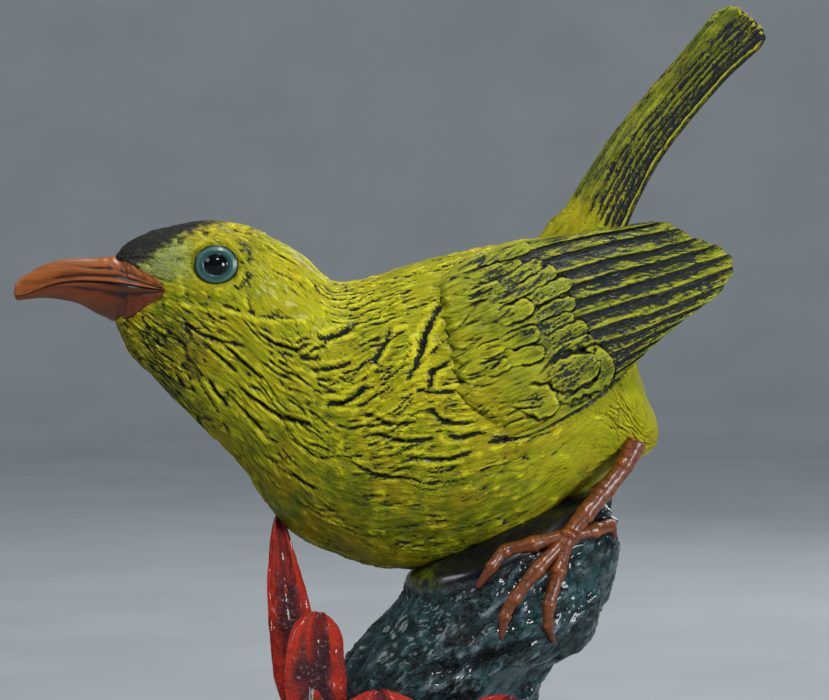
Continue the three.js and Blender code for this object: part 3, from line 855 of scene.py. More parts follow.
def path_distance(x: Array, z: Array, points: tuple) -> tuple:
    """How far places lie from a smooth line through points, seen from the side.

    Args:
        x: places along the bird, in any unit.
        z: their heights in the same unit.
        points: pairs of x and z on the line.

    Returns:
        Distances, below 0 on one side of the line, and shares of the way along it.
    """
    table = Table([[i, *p] for i, p in enumerate(points)])
    dense = table.share(np.linspace(0, 1, 24))[:, 1:]
    best = np.full(x.shape, 1e9)
    share, sign = np.zeros(x.shape), np.ones(x.shape)
    steps = len(dense) - 1
    for i in range(steps):
        (ax, az), (wx, wz) = dense[i], dense[i + 1] - dense[i]
        f = np.clip(((x - ax) * wx + (z - az) * wz) / max(wx * wx + wz * wz, 1e-9), 0, 1)
        dx, dz = x - ax - f * wx, z - az - f * wz
        d = np.hypot(dx, dz)
        near = d < best
        best = np.where(near, d, best)
        share = np.where(near, (i + f) / steps, share)
        sign = np.where(near, np.sign(wx * dz - wz * dx), sign)
    return best * sign, share


@dataclass
class Body:
    """Head and body in one, carved in locks of feathers that follow the lie of the plumage."""

    rings: int = 246
    sides: int = 402
    locks: int = 2300
    clusters: int = 300
    seed: int = 7

    def __post_init__(self) -> None:
        """Spaces the rings, closer together on the head and the breast."""
        t = np.linspace(0, BODY.last, 1600)
        angles = np.linspace(0, 2 * np.pi, 24, endpoint=False)
        points = body_point(t[:, None], angles[None, :])
        steps = np.linalg.norm(np.diff(points, axis=0), axis=-1).mean(axis=1)
        x = BODY.at((t[1:] + t[:-1]) / 2)[:, 0]
        weight = mix(1.0, 0.65, smooth(x, -3, 5)) + 0.25 * smooth(x, 20, 25)
        total = np.concatenate([[0], np.cumsum(steps * weight)])
        self.rows = np.interp(np.linspace(0, total[-1], self.rings + 2)[1:-1], total, t)
        self.length = np.interp(self.rows, t, np.concatenate([[0], np.cumsum(steps)]))
        even = 2 * np.pi * np.arange(self.sides + 1) / self.sides
        warped = even - 0.14 * np.sin(2 * even)
        self.angles = warped[:-1]
        halfway = (warped[1:] + warped[:-1]) / 2
        self.turn = np.concatenate(
            [
                [0],
                np.cumsum(
                    np.diff(warped) * np.hypot(0.85 * np.sin(halfway), 1.15 * np.cos(halfway))
                ),
            ]
        )
        self.points = body_point(self.rows[:, None], self.angles[None, :])
        self.x, self.y = self.points[..., 0] / UNIT, self.points[..., 1]
        self.z = (self.points[..., 2] - PERCH_HEIGHT) / UNIT
        table = BODY.at(self.rows)
        self.radius = (table[:, 3] + (table[:, 1] - table[:, 2]) / 2) / 2 * UNIT
        self.middle = bird_z((table[:, 1] + table[:, 2]) / 2)[:, None]

    def patch(self, i: int, j: int, half_long: float, half_wide: float, turn: float) -> tuple:
        """The grid points round one point.

        Args:
            i: its ring.
            j: its side.
            half_long: reach along the lie of the feathers, in millimetres.
            half_wide: reach across it.
            turn: how far the lie turns from the body's own length, in radians.

        Returns:
            The block of the grid, and distances along and across the lie in it.
        """
        low, high = np.searchsorted(
            self.length, [self.length[i] - half_long, self.length[i] + half_long]
        )
        wide = (
            (half_long * abs(math.sin(turn)) + half_wide)
            / (self.radius[i] * np.diff(self.turn).min())
        )
        spread = min(int(wide) + 1, self.sides // 2 - 1)
        ds = (self.length[low:high] - self.length[i])[:, None]
        index = j + np.arange(-spread, spread + 1)
        around = (
            self.turn[index % self.sides]
            + self.turn[-1] * (index // self.sides)
            - self.turn[j]
        )
        dv = around[None, :] * self.radius[low:high, None]
        if math.cos(self.angles[j]) < 0:
            dv = -dv
        along, across = (
            ds * math.cos(turn) + dv * math.sin(turn),
            dv * math.cos(turn) - ds * math.sin(turn),
        )
        return np.ix_(np.arange(low, high), index % self.sides), along, across

    @staticmethod
    def lie(x: float, z: float) -> float:
        """How far the feathers' lie turns upwards from the body's own length, in radians."""
        throat = float(smooth(-x, 24, 33) * (1 - smooth(z, 30, 36)))
        shoulder = float(bell(x, -10, 8) * bell(z, 27, 9))
        flank = float(smooth(x, 0, 14) * (1 - smooth(z, 22, 30)))
        return -0.25 * throat + 0.5 * shoulder + 0.12 * flank

    def pick(self, rng: np.random.Generator) -> tuple:
        """A random grid point, evenly over the surface.

        Args:
            rng: where the numbers are drawn from.

        Returns:
            Its ring and side, x and z, and how far it is on the head, flank, shoulder and cheek.
        """
        while True:
            i, j = int(rng.integers(2, self.rings - 2)), int(rng.integers(0, self.sides))
            if rng.random() < self.radius[i] / 30:
                break
        x, z = float(self.x[i, j]), float(self.z[i, j])
        head = 1 - float(smooth(x, -29, -19))
        flank = float(smooth(x, 11, 17)) * (1 - float(smooth(z, 32, 36)))
        shoulder = float(bell(x, -13, 11) * bell(z, 27, 10))
        cheek = float(bell(x, -23.5, 4.2) * bell(z, 34.6, 2.8))
        return i, j, x, z, head, flank, shoulder, cheek

    def carve_locks(self) -> Array:
        """Height of overlapping locks, each with its own combed grooves, in millimetres."""
        rng = np.random.default_rng(self.seed)
        height = np.full((self.rings, self.sides), -0.25)
        for _ in range(self.locks):
            i, j, x, z, head, flank, shoulder, cheek = self.pick(rng)
            if math.hypot(x - EYE_X, z - EYE_Z) < 3.6:
                continue
            size = rng.uniform(0.75, 1.3)
            reach = size * mix(mix(7.0, 3.2, head), 6.5, flank)
            width = size * mix(2.5, 1.3, head) * (1 + 0.2 * shoulder)
            thick = (
                rng.uniform(0.15, 0.50)
                * mix(1, 0.55, head)
                * mix(1, 0.4, flank)
                * (1 + 0.5 * shoulder)
                * (1 - 0.75 * cheek)
            )
            turn, curve = self.lie(x, z) + rng.normal(0, 0.15), rng.normal(0, 0.02)
            block, along, across = self.patch(i, j, reach + width, width * 1.4 + 1, turn)
            across = across - curve * along * along
            end = reach * (1 - 0.35 * np.clip(across / width, -1, 1) ** 2)
            rise = (
                np.clip((along + reach) / (reach + end), 0, 1) ** 1.2
                * (1 - smooth(along, end - 0.35, end + 0.25))
            )
            pad = thick * rise * np.clip(1 - (across / width) ** 2, 0, 1) ** 0.6
            pitch = rng.uniform(0.85, 1.25)
            comb = np.cos(
                2 * np.pi * across / pitch + rng.uniform(0, 6.3) + 0.5 * np.sin(along * 0.9)
            )
            hair = (
                -0.15
                * mix(1, 0.8, head)
                * (1 - 0.7 * cheek)
                * mix(1, 0.6, flank)
                * np.clip(comb, 0, 1) ** 3
                * np.minimum(rise * 3, 1)
            )
            lock = np.where(pad > 0.01, pad + hair, -1)
            height[block] = np.maximum(height[block], lock)
        return height

    def carve_slits(self) -> Array:
        """Depth of dark slits between the locks, in groups, in millimetres, their lips up."""
        rng = np.random.default_rng(self.seed + 1)
        cut, lip = np.zeros((self.rings, self.sides)), np.zeros((self.rings, self.sides))
        for _ in range(self.clusters):
            i, j, x, z, head, flank, shoulder, cheek = self.pick(rng)
            if (
                math.hypot(x - EYE_X, z - EYE_Z) < 5
                or (x < -31 and z > 40)
                or rng.random() < 0.6 * flank + 0.8 * cheek
            ):
                continue
            turn, curve = self.lie(x, z) + rng.normal(0, 0.12), rng.normal(0.012, 0.016)
            scale = mix(1, 0.55, head) * (1 + 0.3 * shoulder)
            deep = mix(1, 0.7, head) * (1 + 0.8 * shoulder)
            count = int(rng.integers(2, 7))
            block, along, across = self.patch(i, j, 14 * scale, 7, turn)
            across = across - curve * along * along
            for k in range(count):
                reach, width, depth = (
                    rng.uniform(2.5, 10.0) * scale,
                    rng.uniform(0.28, 0.40),
                    rng.uniform(0.15, 0.6) * deep,
                )
                away = across - (k - (count - 1) / 2) * rng.uniform(1.0, 1.6) * mix(1, 0.75, head)
                far = along - rng.normal(0, 2.4) * scale
                away = away + 0.25 * np.sin(far * 0.8 + 2.1 * k)
                taper = np.clip(1 - (far / reach) ** 2, 0, 1) ** 0.8
                cut[block] = np.maximum(cut[block], depth * taper * np.exp(-((away / width) ** 2)))
                lip[block] = np.maximum(
                    lip[block],
                    0.45 * depth * taper * np.exp(-(((away - 2.0 * width) / width) ** 2)),
                )
        return np.where(cut > 0.5 * lip, lip - cut, lip)

    def forms(self) -> Array:
        """Broad forms of the head and the breast, in millimetres."""
        x, y, z = self.x, self.y, self.z
        seen = smooth(np.abs(y), 1.0, 4.0)
        eye = np.hypot((x - EYE_X) / 1.05, (z - EYE_Z) / 0.93)
        lift = -1.0 * np.exp(-((eye / 3.3) ** 6)) * seen
        lift += 0.5 * np.exp(-(((eye - 3.3) / 0.4) ** 2)) * seen
        lift -= (
            0.75
            * np.exp(-(((eye - 4.6) / 0.9) ** 2))
            * smooth(x, EYE_X + 1, EYE_X + 3.4)
            * (1 - 0.6 * smooth(z, EYE_Z, EYE_Z + 4))
            * seen
        )
        lift += 0.8 * bell(x, -23.0, 3.4) * bell(z, 34.4, 2.8) * seen
        lift -= 0.5 * bell(x, -26.5, 2.6) * bell(z, 30.4, 1.3) * seen
        lift += 0.5 * bell(x, -35.5, 3.0) * bell(z, 42.0, 1.5) * seen
        lift -= 0.4 * bell(x, -36.0, 3.0) * bell(z, 38.6, 0.8) * seen
        lift += 0.6 * bell(x, -10, 5.0) * bell(z, 29, 4.0) * seen
        lift += 1.0 * np.exp(-(((x - 1.6) / 3.0) ** 4) - ((z - 23.9) / 2.2) ** 4) * seen
        return lift

    def named_cuts(self) -> Array:
        """The long deep cuts, with a bright lip above each, on both sides."""
        x, y, z = self.x, self.y, self.z
        cut = np.zeros(x.shape)
        for points, width, depth in CUTS:
            box = np.array(points)
            low, high = box.min(axis=0) - 2, box.max(axis=0) + 2
            here = (x > low[0]) & (x < high[0]) & (z > low[1]) & (z < high[1]) & (np.abs(y) > 2)
            away, share = path_distance(x[here], z[here], points)
            away = away * UNIT + 0.35 * noise(self.points[here] * 0.35, 51)
            taper = np.clip(1 - (2 * share - 1) ** 2, 0, 1) ** 0.7
            ragged = 1.15 + 0.5 * noise(stacked(x[here] * 0.9, z[here] * 0.9, y[here] * 0.1), 5)
            groove = -depth * taper * np.exp(-((away / (width * ragged)) ** 2))
            lift = 0.4 * depth * taper * np.exp(-(((away - 2.2 * width) / (1.3 * width)) ** 2))
            here_cut = cut[here]
            cut[here] = np.where(np.abs(groove + lift) > np.abs(here_cut), groove + lift, here_cut)
        return cut

    def build(self, paint: bpy.types.Material) -> None:
        """Lays out, carves and paints the body.

        Args:
            paint: the material of the plumage.
        """
        x, z, points, length = self.x, self.z, self.points, self.length
        flow = stacked(
            np.broadcast_to(length[:, None] * 0.15, x.shape), self.y, points[..., 2] - self.middle
        )
        sway = np.stack([noise(points * 0.06, k) for k in (3, 4, 5)], axis=-1)
        rise = (
            0.55 * (x + 9) * UNIT * bell(x, -9, 8) * bell(z, 27, 9)
            - 0.3 * (x + 35) * UNIT * bell(x, -35, 7) * bell(z, 26, 8)
        )
        flow = flow + sway * [0.4, 2.2, 2.2]
        flow[..., 2] -= rise
        fibre = layered(flow * [1.2, 0.75, 0.75], 2, 20)
        cheek = bell(x, -23.5, 4.5) * bell(z, 34.6, 2.8)
        flank = smooth(x, 13, 19) * (1 - smooth(z, 30, 36))
        calm = 1 - 0.75 * cheek - 0.5 * flank
        ends = smooth(length, 0, 6) * smooth(length[-1] - length, 0, 5)
        fine = self.carve_locks() + self.carve_slits() + 0.22 * fibre * calm
        fine = (fine + 0.35 * layered(points * 0.14, 2, 31)) * ends[:, None]
        edge = CAP_EDGE.where(x)[..., 0]
        cap = (
            smooth(z - edge + 1.4 * noise(flow * [1.5, 1.0, 1.0], 41), -0.35, 0.9)
            * (1 - smooth(x, -27, -21.5))
        )
        cap *= smooth(x, -45, -43)
        fine = mix(fine, 0.2 * fibre, 0.75 * smooth(cap, 0.3, 0.8))
        cuts = self.named_cuts()
        bill = self.bill_seat()
        lift = 1.2 * fine + np.where(np.abs(cuts) > 0.05, cuts, 0) + self.forms()
        lift = np.where(lift > 0.5, 0.5 + 0.4 * (lift - 0.5), lift) - 0.28
        lift = mix(lift, -1.6, bill) * ends[:, None] - 1.5 * self.under_wing()
        normal = ring_normals(points)
        ball = Ball("plumage_body", self.rings, self.sides)
        first, last = body_point(0.0, 0.0), body_point(float(BODY.last), 0.0)
        obj = ball.build(points + normal * lift[..., None], first, last)
        hollow = hollows(fine + cuts, 3)
        groove = smooth(hollow, 0.02, 0.42) * mix(1.0, 0.7, flank)
        eye = np.hypot(x - EYE_X, z - EYE_Z)
        # painted shade in the notch carved behind the eye
        eye_notch_shade = (
            bell(eye, 4.4, 1.0)
            * smooth(x, EYE_X + 1, EYE_X + 3)
            * (1 - smooth(z, EYE_Z + 2, EYE_Z + 4))
        )
        groove = (
            groove
            + eye_notch_shade * (0.42 + 1.0 * noise(points * 0.7, 61))
            + 0.35 * smooth(-x, 27, 33) * (1 - smooth(z, 31, 36))
        )
        # painted shadow along the wing's lower edge
        groove = groove + 0.8 * self.wing_shadow() + 0.1 * bell(x, -34, 4) * bell(z, 33.5, 3)
        # darker towards the underside of the breast and belly: partly olive paint, partly painted
        # shade
        tone = mix(0.66, 0.30, smooth(-z, -24, -6) * (1 - smooth(x, 6, 18)))
        tone = (
            tone
            + 0.22 * bell(x, -18, 9) * bell(z, 35, 6)
            - 0.2 * smooth(-x, 27, 36) * (1 - smooth(z, 30, 38))
        )
        # the rear flank below the wing is painted lighter, a painted light
        tone = (
            tone
            + 0.4 * bell(x, 24, 7) * bell(z, 22, 8)
            + 0.15 * bell(eye, 3.4, 0.6)
            - 0.16 * bell(x, -34, 5) * bell(z, 36, 4)
        )
        lore = smooth(-x, 31.5, 35) * smooth(z, 37.8, 39.8) * (1 - smooth(-x, 42, 44)) * (1 - cap)
        ball.paint(flow=flow, groove=groove, ridge=smooth(-hollow, 0.0, 0.2), tone=tone)
        ball.paint(cap=cap, lore=lore, dry=0.25 + 0.5 * lore)
        finish_piece(obj, paint, "plumage_paint", "bird")

    def bill_seat(self) -> Array:
        """1 where the bill covers the face, which lies lower there."""
        table = BILL.where(np.clip(self.x, -44.2, -36.05))
        inside = np.minimum(table[..., 0] - self.z, self.z - table[..., 1])
        return smooth(inside, 0.15, 0.7) * (1 - smooth(self.x, -37.4, -36.6))

    def under_wing(self) -> Array:
        """1 well inside the folded wing's outline, where the body lies lower than the wing."""
        edge, flat = np.linspace(0, 1, 24), np.zeros(24)
        s = mix(0.08, 0.95, np.concatenate([edge, flat + 1, edge[::-1], flat]))
        t = mix(0.10, 0.93, np.concatenate([flat, edge, flat + 1, edge[::-1]]))
        outline = np.stack(wing_plan(s, t), axis=-1)
        inside, nearest = np.zeros(self.x.shape, bool), np.full(self.x.shape, 1e9)
        for (ax, az), (bx, bz) in zip(outline, np.roll(outline, -1, axis=0)):
            if az != bz:
                inside ^= ((az > self.z) != (bz > self.z)) & (
                    self.x < (bx - ax) * (self.z - az) / (bz - az) + ax
                )
            span = max((bx - ax) ** 2 + (bz - az) ** 2, 1e-9)
            f = np.clip(((self.x - ax) * (bx - ax) + (self.z - az) * (bz - az)) / span, 0, 1)
            nearest = np.minimum(
                nearest, np.hypot(self.x - ax - f * (bx - ax), self.z - az - f * (bz - az))
            )
        return np.where(inside, smooth(nearest, 0.1, 1.1), 0) * smooth(np.abs(self.y), 3, 7)

    def wing_shadow(self) -> Array:
        """1 along the lower edge of the folded wing, where a shadow is painted on the body."""
        away, share = path_distance(self.x, self.z, ((2, 20.6), *WING_BOTTOM_EDGE))
        fade = (
            smooth(share, 0.02, 0.3)
            * (1 - smooth(share, 0.78, 0.95))
            * smooth(np.abs(self.y), 6, 11)
        )
        return bell(away, -0.15, 0.55) * fade


# x, middle height, half height, half width of the shell that the folded wings lie on.
WING_SHELL = Table([
    [-6, 20, 20.8, 13.6], [-2.7, 20.9, 20.8, 14.2], [10.7, 24.2, 20.9, 15], [21.3, 29.3, 18.8, 12],
    [29.3, 34.9, 14.9, 9], [39.5, 39.9, 10.9, 5.4]],
)
WING_TOP = Table([[-1.3, 37.5], [2.9, 41], [10.7, 43.5], [19.3, 45], [27.4, 46.2]])
WING_BOTTOM_EDGE = ((8.7, 18.6), (17.6, 22), (22.4, 25.4), (25.8, 28.4))
WING_BOTTOM = Table([(-0.3, 24.6), *WING_BOTTOM_EDGE])
WING_TIPS = Table([
    [27.4, 46.2], [29.9, 46.2], [33, 44.4], [36.6, 43.1], [38.5, 40.8], [36.7, 37.1], [32.1, 33.7],
    [27.9, 30.3], [25.8, 28.4]],
)
WING_FRONT = Table([[-1.3, 37.5], [-2.1, 31.3], [-0.3, 24.6]])
FEATHERS = 12
FRONT_SINK = 5.0  # how far the wing's front edge goes into the body, in millimetres
WING_ROOT, WING_EDGE = 9.0, 2.6  # how thick the wing is there, in millimetres
WING_SLITS = 110


def wing_plan(s: Array, t: Array) -> tuple:
    """The wing's patch, seen from the side.

    Args:
        s: shares of the way from its front to its tips.
        t: shares of the way from its top edge down.

    Returns:
        x and z in the bird's units.
    """
    top, bottom, front, tips = (
        WING_TOP.share(s),
        WING_BOTTOM.share(s),
        WING_FRONT.share(t),
        WING_TIPS.share(t),
    )
    plan = []
    for k in (0, 1):
        upper = mix(WING_TOP.rows[0][k], WING_TIPS.rows[0][k], s)
        lower = mix(WING_BOTTOM.rows[0][k], WING_TIPS.rows[-1][k], s)
        plan.append(
            mix(top[..., k], bottom[..., k], t)
            + mix(front[..., k], tips[..., k], s)
            - mix(upper, lower, t)
        )
    return plan[0], plan[1]


def wing_point(s: Array, t: Array, side: float, depth: Array) -> Array:
    """Points of the wing, in millimetres.

    Args:
        s: shares of the way from its front to its tips.
        t: shares of the way from its top edge down.
        side: -1 for the left wing, 1 for the right one.
        depth: how far each point lies under the plain surface, in millimetres.

    Returns:
        One point for each pair.
    """
    x, z = wing_plan(s, t)
    shell = WING_SHELL.where(x)
    level = np.clip((z - shell[..., 0]) / shell[..., 1], -0.98, 0.98)
    out = shell[..., 2] * UNIT * np.sqrt(1 - level * level) - depth
    return stacked(bird_x(x), side * out, bird_z(z))


# how far each edge loop behind the front is drawn back, and how much smaller it gets
SHEET_BACK = (
    (-0.35, 1.0), (-0.4, 1.0), (-0.25, 0.985), (0.0, 0.93), (0.0, 0.88), (0.0, 0.8), (0.0, 0.68),
    (0.0, 0.5), (0.0, 0.3),
)


@dataclass
class Sheet:
    """A plate with a detailed front and a plain back, started from a grid.

    The grid's own plane holds the share of the way across and along; its height holds how deep a
    vertex lies, from 0 on the front to -1 on the back.
    """

    name: str
    across: int
    along: int

    def __post_init__(self) -> None:
        """Makes the grid, draws its edge back and closes it behind."""
        bpy.ops.object.select_all(action="DESELECT")
        bpy.ops.mesh.primitive_grid_add(
            x_subdivisions=self.across, y_subdivisions=self.along, size=1, location=(0.5, 0.5, 0)
        )
        self.obj = new_object(self.name)
        bpy.ops.object.transform_apply(location=True, rotation=False, scale=False)
        bpy.ops.object.mode_set(mode="EDIT")
        bpy.context.tool_settings.mesh_select_mode = (False, True, False)
        bpy.ops.mesh.select_all(action="DESELECT")
        bpy.ops.mesh.select_non_manifold(
            extend=False,
            use_wire=False,
            use_multi_face=False,
            use_non_contiguous=False,
            use_verts=False,
        )
        for drop, shrink in SHEET_BACK:
            bpy.ops.mesh.extrude_edges_move(TRANSFORM_OT_translate={"value": (0, 0, drop)})
            if shrink < 1:
                bpy.ops.transform.resize(value=(shrink, shrink, 1), center_override=(0.5, 0.5, 0))
        bpy.ops.mesh.edge_face_add()
        bpy.ops.mesh.quads_convert_to_tris()
        bpy.ops.object.mode_set(mode="OBJECT")
        co = coordinates(self.obj)
        self.u, self.v, self.deep = co[:, 0], co[:, 1], -co[:, 2]

    def pick(self, grid: Array) -> Array:
        """Values of a grid over the front, along first, for each vertex."""
        return grid[
            np.rint(self.v * self.along).astype(int), np.rint(self.u * self.across).astype(int)
        ]


# Root and tip of each covert in the bird's units, its half width, its lift in millimetres and
# how brightly it is brushed.
COVERTS = (
    (2.9, 40.2, 8.8, 42.6, 0.8, 0.7, 1.0),
    (5.6, 41.0, 11.7, 43.1, 0.7, 0.6, 0.85),
    (2.4, 38.3, 8.4, 40.5, 0.8, 0.7, 1.0),
    (5.1, 38.1, 10.9, 41.0, 0.8, 0.7, 0.85),
    (2.4, 35.9, 8.0, 38.1, 0.9, 0.8, 1.0),
    (5.3, 35.7, 10.6, 37.8, 0.8, 0.7, 0.8),
    (6.7, 37.3, 13.3, 41.1, 0.9, 0.9, 0.75),
    (8.0, 35.9, 15.0, 40.1, 0.9, 1.0, 0.85),
    (9.6, 35.1, 16.9, 38.7, 1.0, 1.1, 0.9),
    (10.9, 33.5, 17.4, 36.1, 1.0, 1.0, 0.75),
    (11.2, 31.8, 17.3, 34.1, 0.9, 1.0, 0.7),
    (12.2, 29.9, 19.0, 33.0, 1.1, 1.2, 0.85),
    (12.8, 28.2, 19.8, 31.3, 1.0, 1.1, 0.8),
    (3.2, 28.7, 8.4, 30.6, 0.9, 0.7, 0.95),
    (4.0, 26.6, 9.0, 28.2, 0.9, 0.7, 0.95),
    (6.1, 33.0, 12.0, 35.7, 1.2, 1.2, 0.95),
    (6.9, 30.3, 12.8, 32.2, 1.1, 1.1, 0.95),
    (8.0, 28.2, 13.4, 29.8, 1.1, 1.1, 0.9),
    (10.6, 23.7, 22.4, 28.3, 2.9, 1.3, 0.75),
    (11.7, 25.1, 20.4, 28.2, 2.1, 1.8, 0.6),
    (9.0, 23.7, 15.4, 22.9, 2.1, 1.5, 0.9),
)


@dataclass
class Wing:
    """A folded wing: round coverts, one by one, over long flight feathers."""

    side: Side
    across: int = 205
    along: int = 255

    def flight(self, s: Array, t: Array) -> tuple:
        """The flight feathers.

        Args:
            s: shares of the way from the wing's front to its tips.
            t: shares of the way from its top edge down.

        Returns:
            Their height in millimetres, and how brightly they are brushed, with painted shade just
            below each feather's step and a painted highlight on its crest.
        """
        drift = noise(stacked(s * 6, t * 5), 3)
        lane = t * FEATHERS + 0.22 * drift + 0.3 * np.sin(3 * s + 5 * t) * smooth(s, 0.4, 0.8)
        own = lane % 1.0
        rough = noise(stacked(s * 30, t * 34), 9)
        coarse = noise(stacked(s * 11, np.floor(lane) * 3.7), 10)
        barbs = noise(stacked(s * 62 - own * 5.0, lane * 2.2), 8)
        rise = smooth(own, 0.10, 0.62) * (1 - smooth(own, 0.93, 1.0))
        crest = bell(own, 0.84 + 0.04 * rough, 0.11)
        height = 0.95 * rise + 0.45 * crest + 0.45 * barbs * rise + 0.25 * rough - 0.5
        thread = bell(noise(stacked(s * 8, lane * 3.3), 12), 0.0, 0.13)
        # painted shade just below each feather's step, where the next one starts low, and a painted
        # highlight on its crest
        light = (
            0.62 * rise * (1 + 2.0 * barbs + 1.2 * coarse)
            + crest * (0.50 + 0.9 * rough)
            - 0.3 * (1 - rise)
            - 0.55 * thread * rise
        )
        height = height - 0.35 * thread * rise
        return height, np.clip(light, 0, 1)

    def lay(self, x: Array, z: Array, height: Array, light: Array) -> None:
        """Lays the coverts over the flight feathers, in the order of their table.

        Args:
            x: places on the wing in the bird's units.
            z: their heights.
            height: height of the carving in millimetres, which is changed.
            light: how brightly it is brushed, with painted shadow round each covert's tip, which is
                changed.
        """
        for number, (x0, z0, x1, z1, half, lift, bright) in enumerate(COVERTS):
            length = math.hypot(x1 - x0, z1 - z0)
            near = (np.abs(x - (x0 + x1) / 2) < length) & (
                np.abs(z - (z0 + z1) / 2) < length / 2 + 1.6 * half
            )
            px, pz = x[near], z[near]
            wobble = noise(stacked(px * 0.9, pz * 0.9, number), 70)
            way = ((x1 - x0) / length, (z1 - z0) / length)
            a = ((px - x0) * way[0] + (pz - z0) * way[1]) / length + 0.07 * wobble
            b = ((pz - z0) * way[0] - (px - x0) * way[1]) / half + 0.3 * wobble
            reach = half / length
            cap = np.clip(1 - np.clip((a - (1 - reach)) / reach, 0, 1) ** 2, 0, 1)
            outline = np.sqrt(cap) * mix(0.45, 1.0, smooth(a, 0.0, 0.5))
            outline = np.where((a < 0) | (a > 1), 0.0, outline)
            away = np.abs(b) / np.maximum(outline, 1e-3)
            inside = (1 - smooth(away, 0.9, 1.03)) * smooth(a, 0.0, 0.25)
            shade = (1 - smooth(away, 1.02, 1.34)) * smooth(a, 0.2, 0.5)
            comb = noise(stacked(a * length * 0.5, b * half * 2.6 - a * length * 0.7, number), 71)
            grit = noise(stacked(px * 3.6, pz * 3.6, number), 72)
            rim = bell(away, 0.86, 0.13) * smooth(a, 0.3, 0.65)
            dip = bell(b, 0, 0.5) * bell(a, 0.45, 0.3)
            grown = np.clip(a, 0, 1)
            feather = (
                1.25 * lift * (0.2 + 0.8 * grown) * (1 - 0.4 * np.clip(away, 0, 1) ** 2)
                + 0.35 * rim
                + 0.3 * comb
                + 0.12 * grit
                - 0.4 * dip
            )
            brushed = (
                0.10
                + bright * (0.44 + 0.40 * grown + 1.4 * comb * (1 - 0.5 * rim))
                + 0.6 * rim
                - 0.5 * dip * (1.3 - bright)
                + 0.6 * grit
            )
            # round each covert's tip the feathers below are carved lower and painted with shadow
            height[near] = mix(height[near], height[near] - 0.9 * lift, shade * 0.9)
            light[near] = mix(light[near], 0.0, shade)
            height[near] = mix(height[near], feather, inside)
            light[near] = mix(light[near], np.clip(brushed, 0, 1), inside)

    def carve_slits(self, x: Array, z: Array, s: Array) -> Array:
        """Dark slits that rise towards the tail, on the front of the wing.

        Args:
            x: places on the wing in the bird's units.
            z: their heights.
            s: shares of the way from the wing's front to its tips.

        Returns:
            How deep the slits are there.
        """
        rng = np.random.default_rng(5)
        slits = np.zeros(s.shape)
        for _ in range(WING_SLITS):
            cx, cz = wing_plan(np.array(rng.uniform(0.0, 0.42)), np.array(rng.uniform(0.02, 0.98)))
            reach, width, depth = (
                rng.uniform(2.0, 7.0),
                rng.uniform(0.25, 0.45),
                rng.uniform(0.3, 1.0),
            )
            turn = rng.normal(0.5, 0.2)
            near = (np.abs(x - cx) < 4) & (np.abs(z - cz) < 4)
            dx, dz = (x[near] - cx) * UNIT, (z[near] - cz) * UNIT
            along, away = (
                dx * math.cos(turn) + dz * math.sin(turn),
                dz * math.cos(turn) - dx * math.sin(turn),
            )
            away = away - 0.05 * along * along * math.sin(7 * cx)
            taper = np.clip(1 - (along / reach) ** 2, 0, 1)
            slits[near] = np.maximum(slits[near], depth * taper * np.exp(-((away / width) ** 2)))
        return slits * (1 - smooth(s, 0.30, 0.46))

    def build(self, paint: bpy.types.Material) -> None:
        """Lays out, carves and paints the wing.

        Args:
            paint: the material of the plumage.
        """
        sheet = Sheet(f"wing_{self.side.name.lower()}", self.across, self.along)
        v, t = np.meshgrid(
            np.linspace(0, 1, self.along + 1), np.linspace(0, 1, self.across + 1), indexing="ij"
        )
        s = v * (0.985 + 0.015 * np.abs(np.sin(np.pi * t * FEATHERS)) ** 0.7)
        x, z = wing_plan(s, t)
        flight, light = self.flight(s, t)
        slant = stacked(s * 7 - t * 2, t * 26 + s * 12, 3)
        locks = layered(slant, 3, 27)
        lumps = layered(stacked(s * 9, t * 7, 3), 2, 29)
        front = 1 - smooth(s - 0.12 * t + 0.05 * lumps, 0.34, 0.46)
        height = mix(flight, 0.6 * locks + 0.8 * lumps, front)
        light = mix(light, np.clip(0.75 + 1.5 * locks, 0, 1), front)
        self.lay(x, z, height, light)
        slits = self.carve_slits(x, z, s)
        height = np.clip(height - slits, -1.2, 2.4)
        height = mix(-0.2, height, smooth(s, 0.03, 0.14))
        ahead = (
            1
            - smooth(s + 0.16 * lumps + 0.10 * locks - 0.14 * smooth(t, 0.45, 0.9), 0.08, 0.42)
        )
        hollow = hollows(height, 3, closed=False)
        lobes = noise(stacked(s * 2, t * 11), 33)
        edge = (
            smooth(np.minimum(np.minimum(t, 1 - t) * 9, (1 - v) * 14), 1.0, 0.2)
            * smooth(s, 0.3, 0.5)
        )
        light = np.clip(light + 0.45 * edge + 0.5 * ahead - 1.1 * slits, 0, 1)
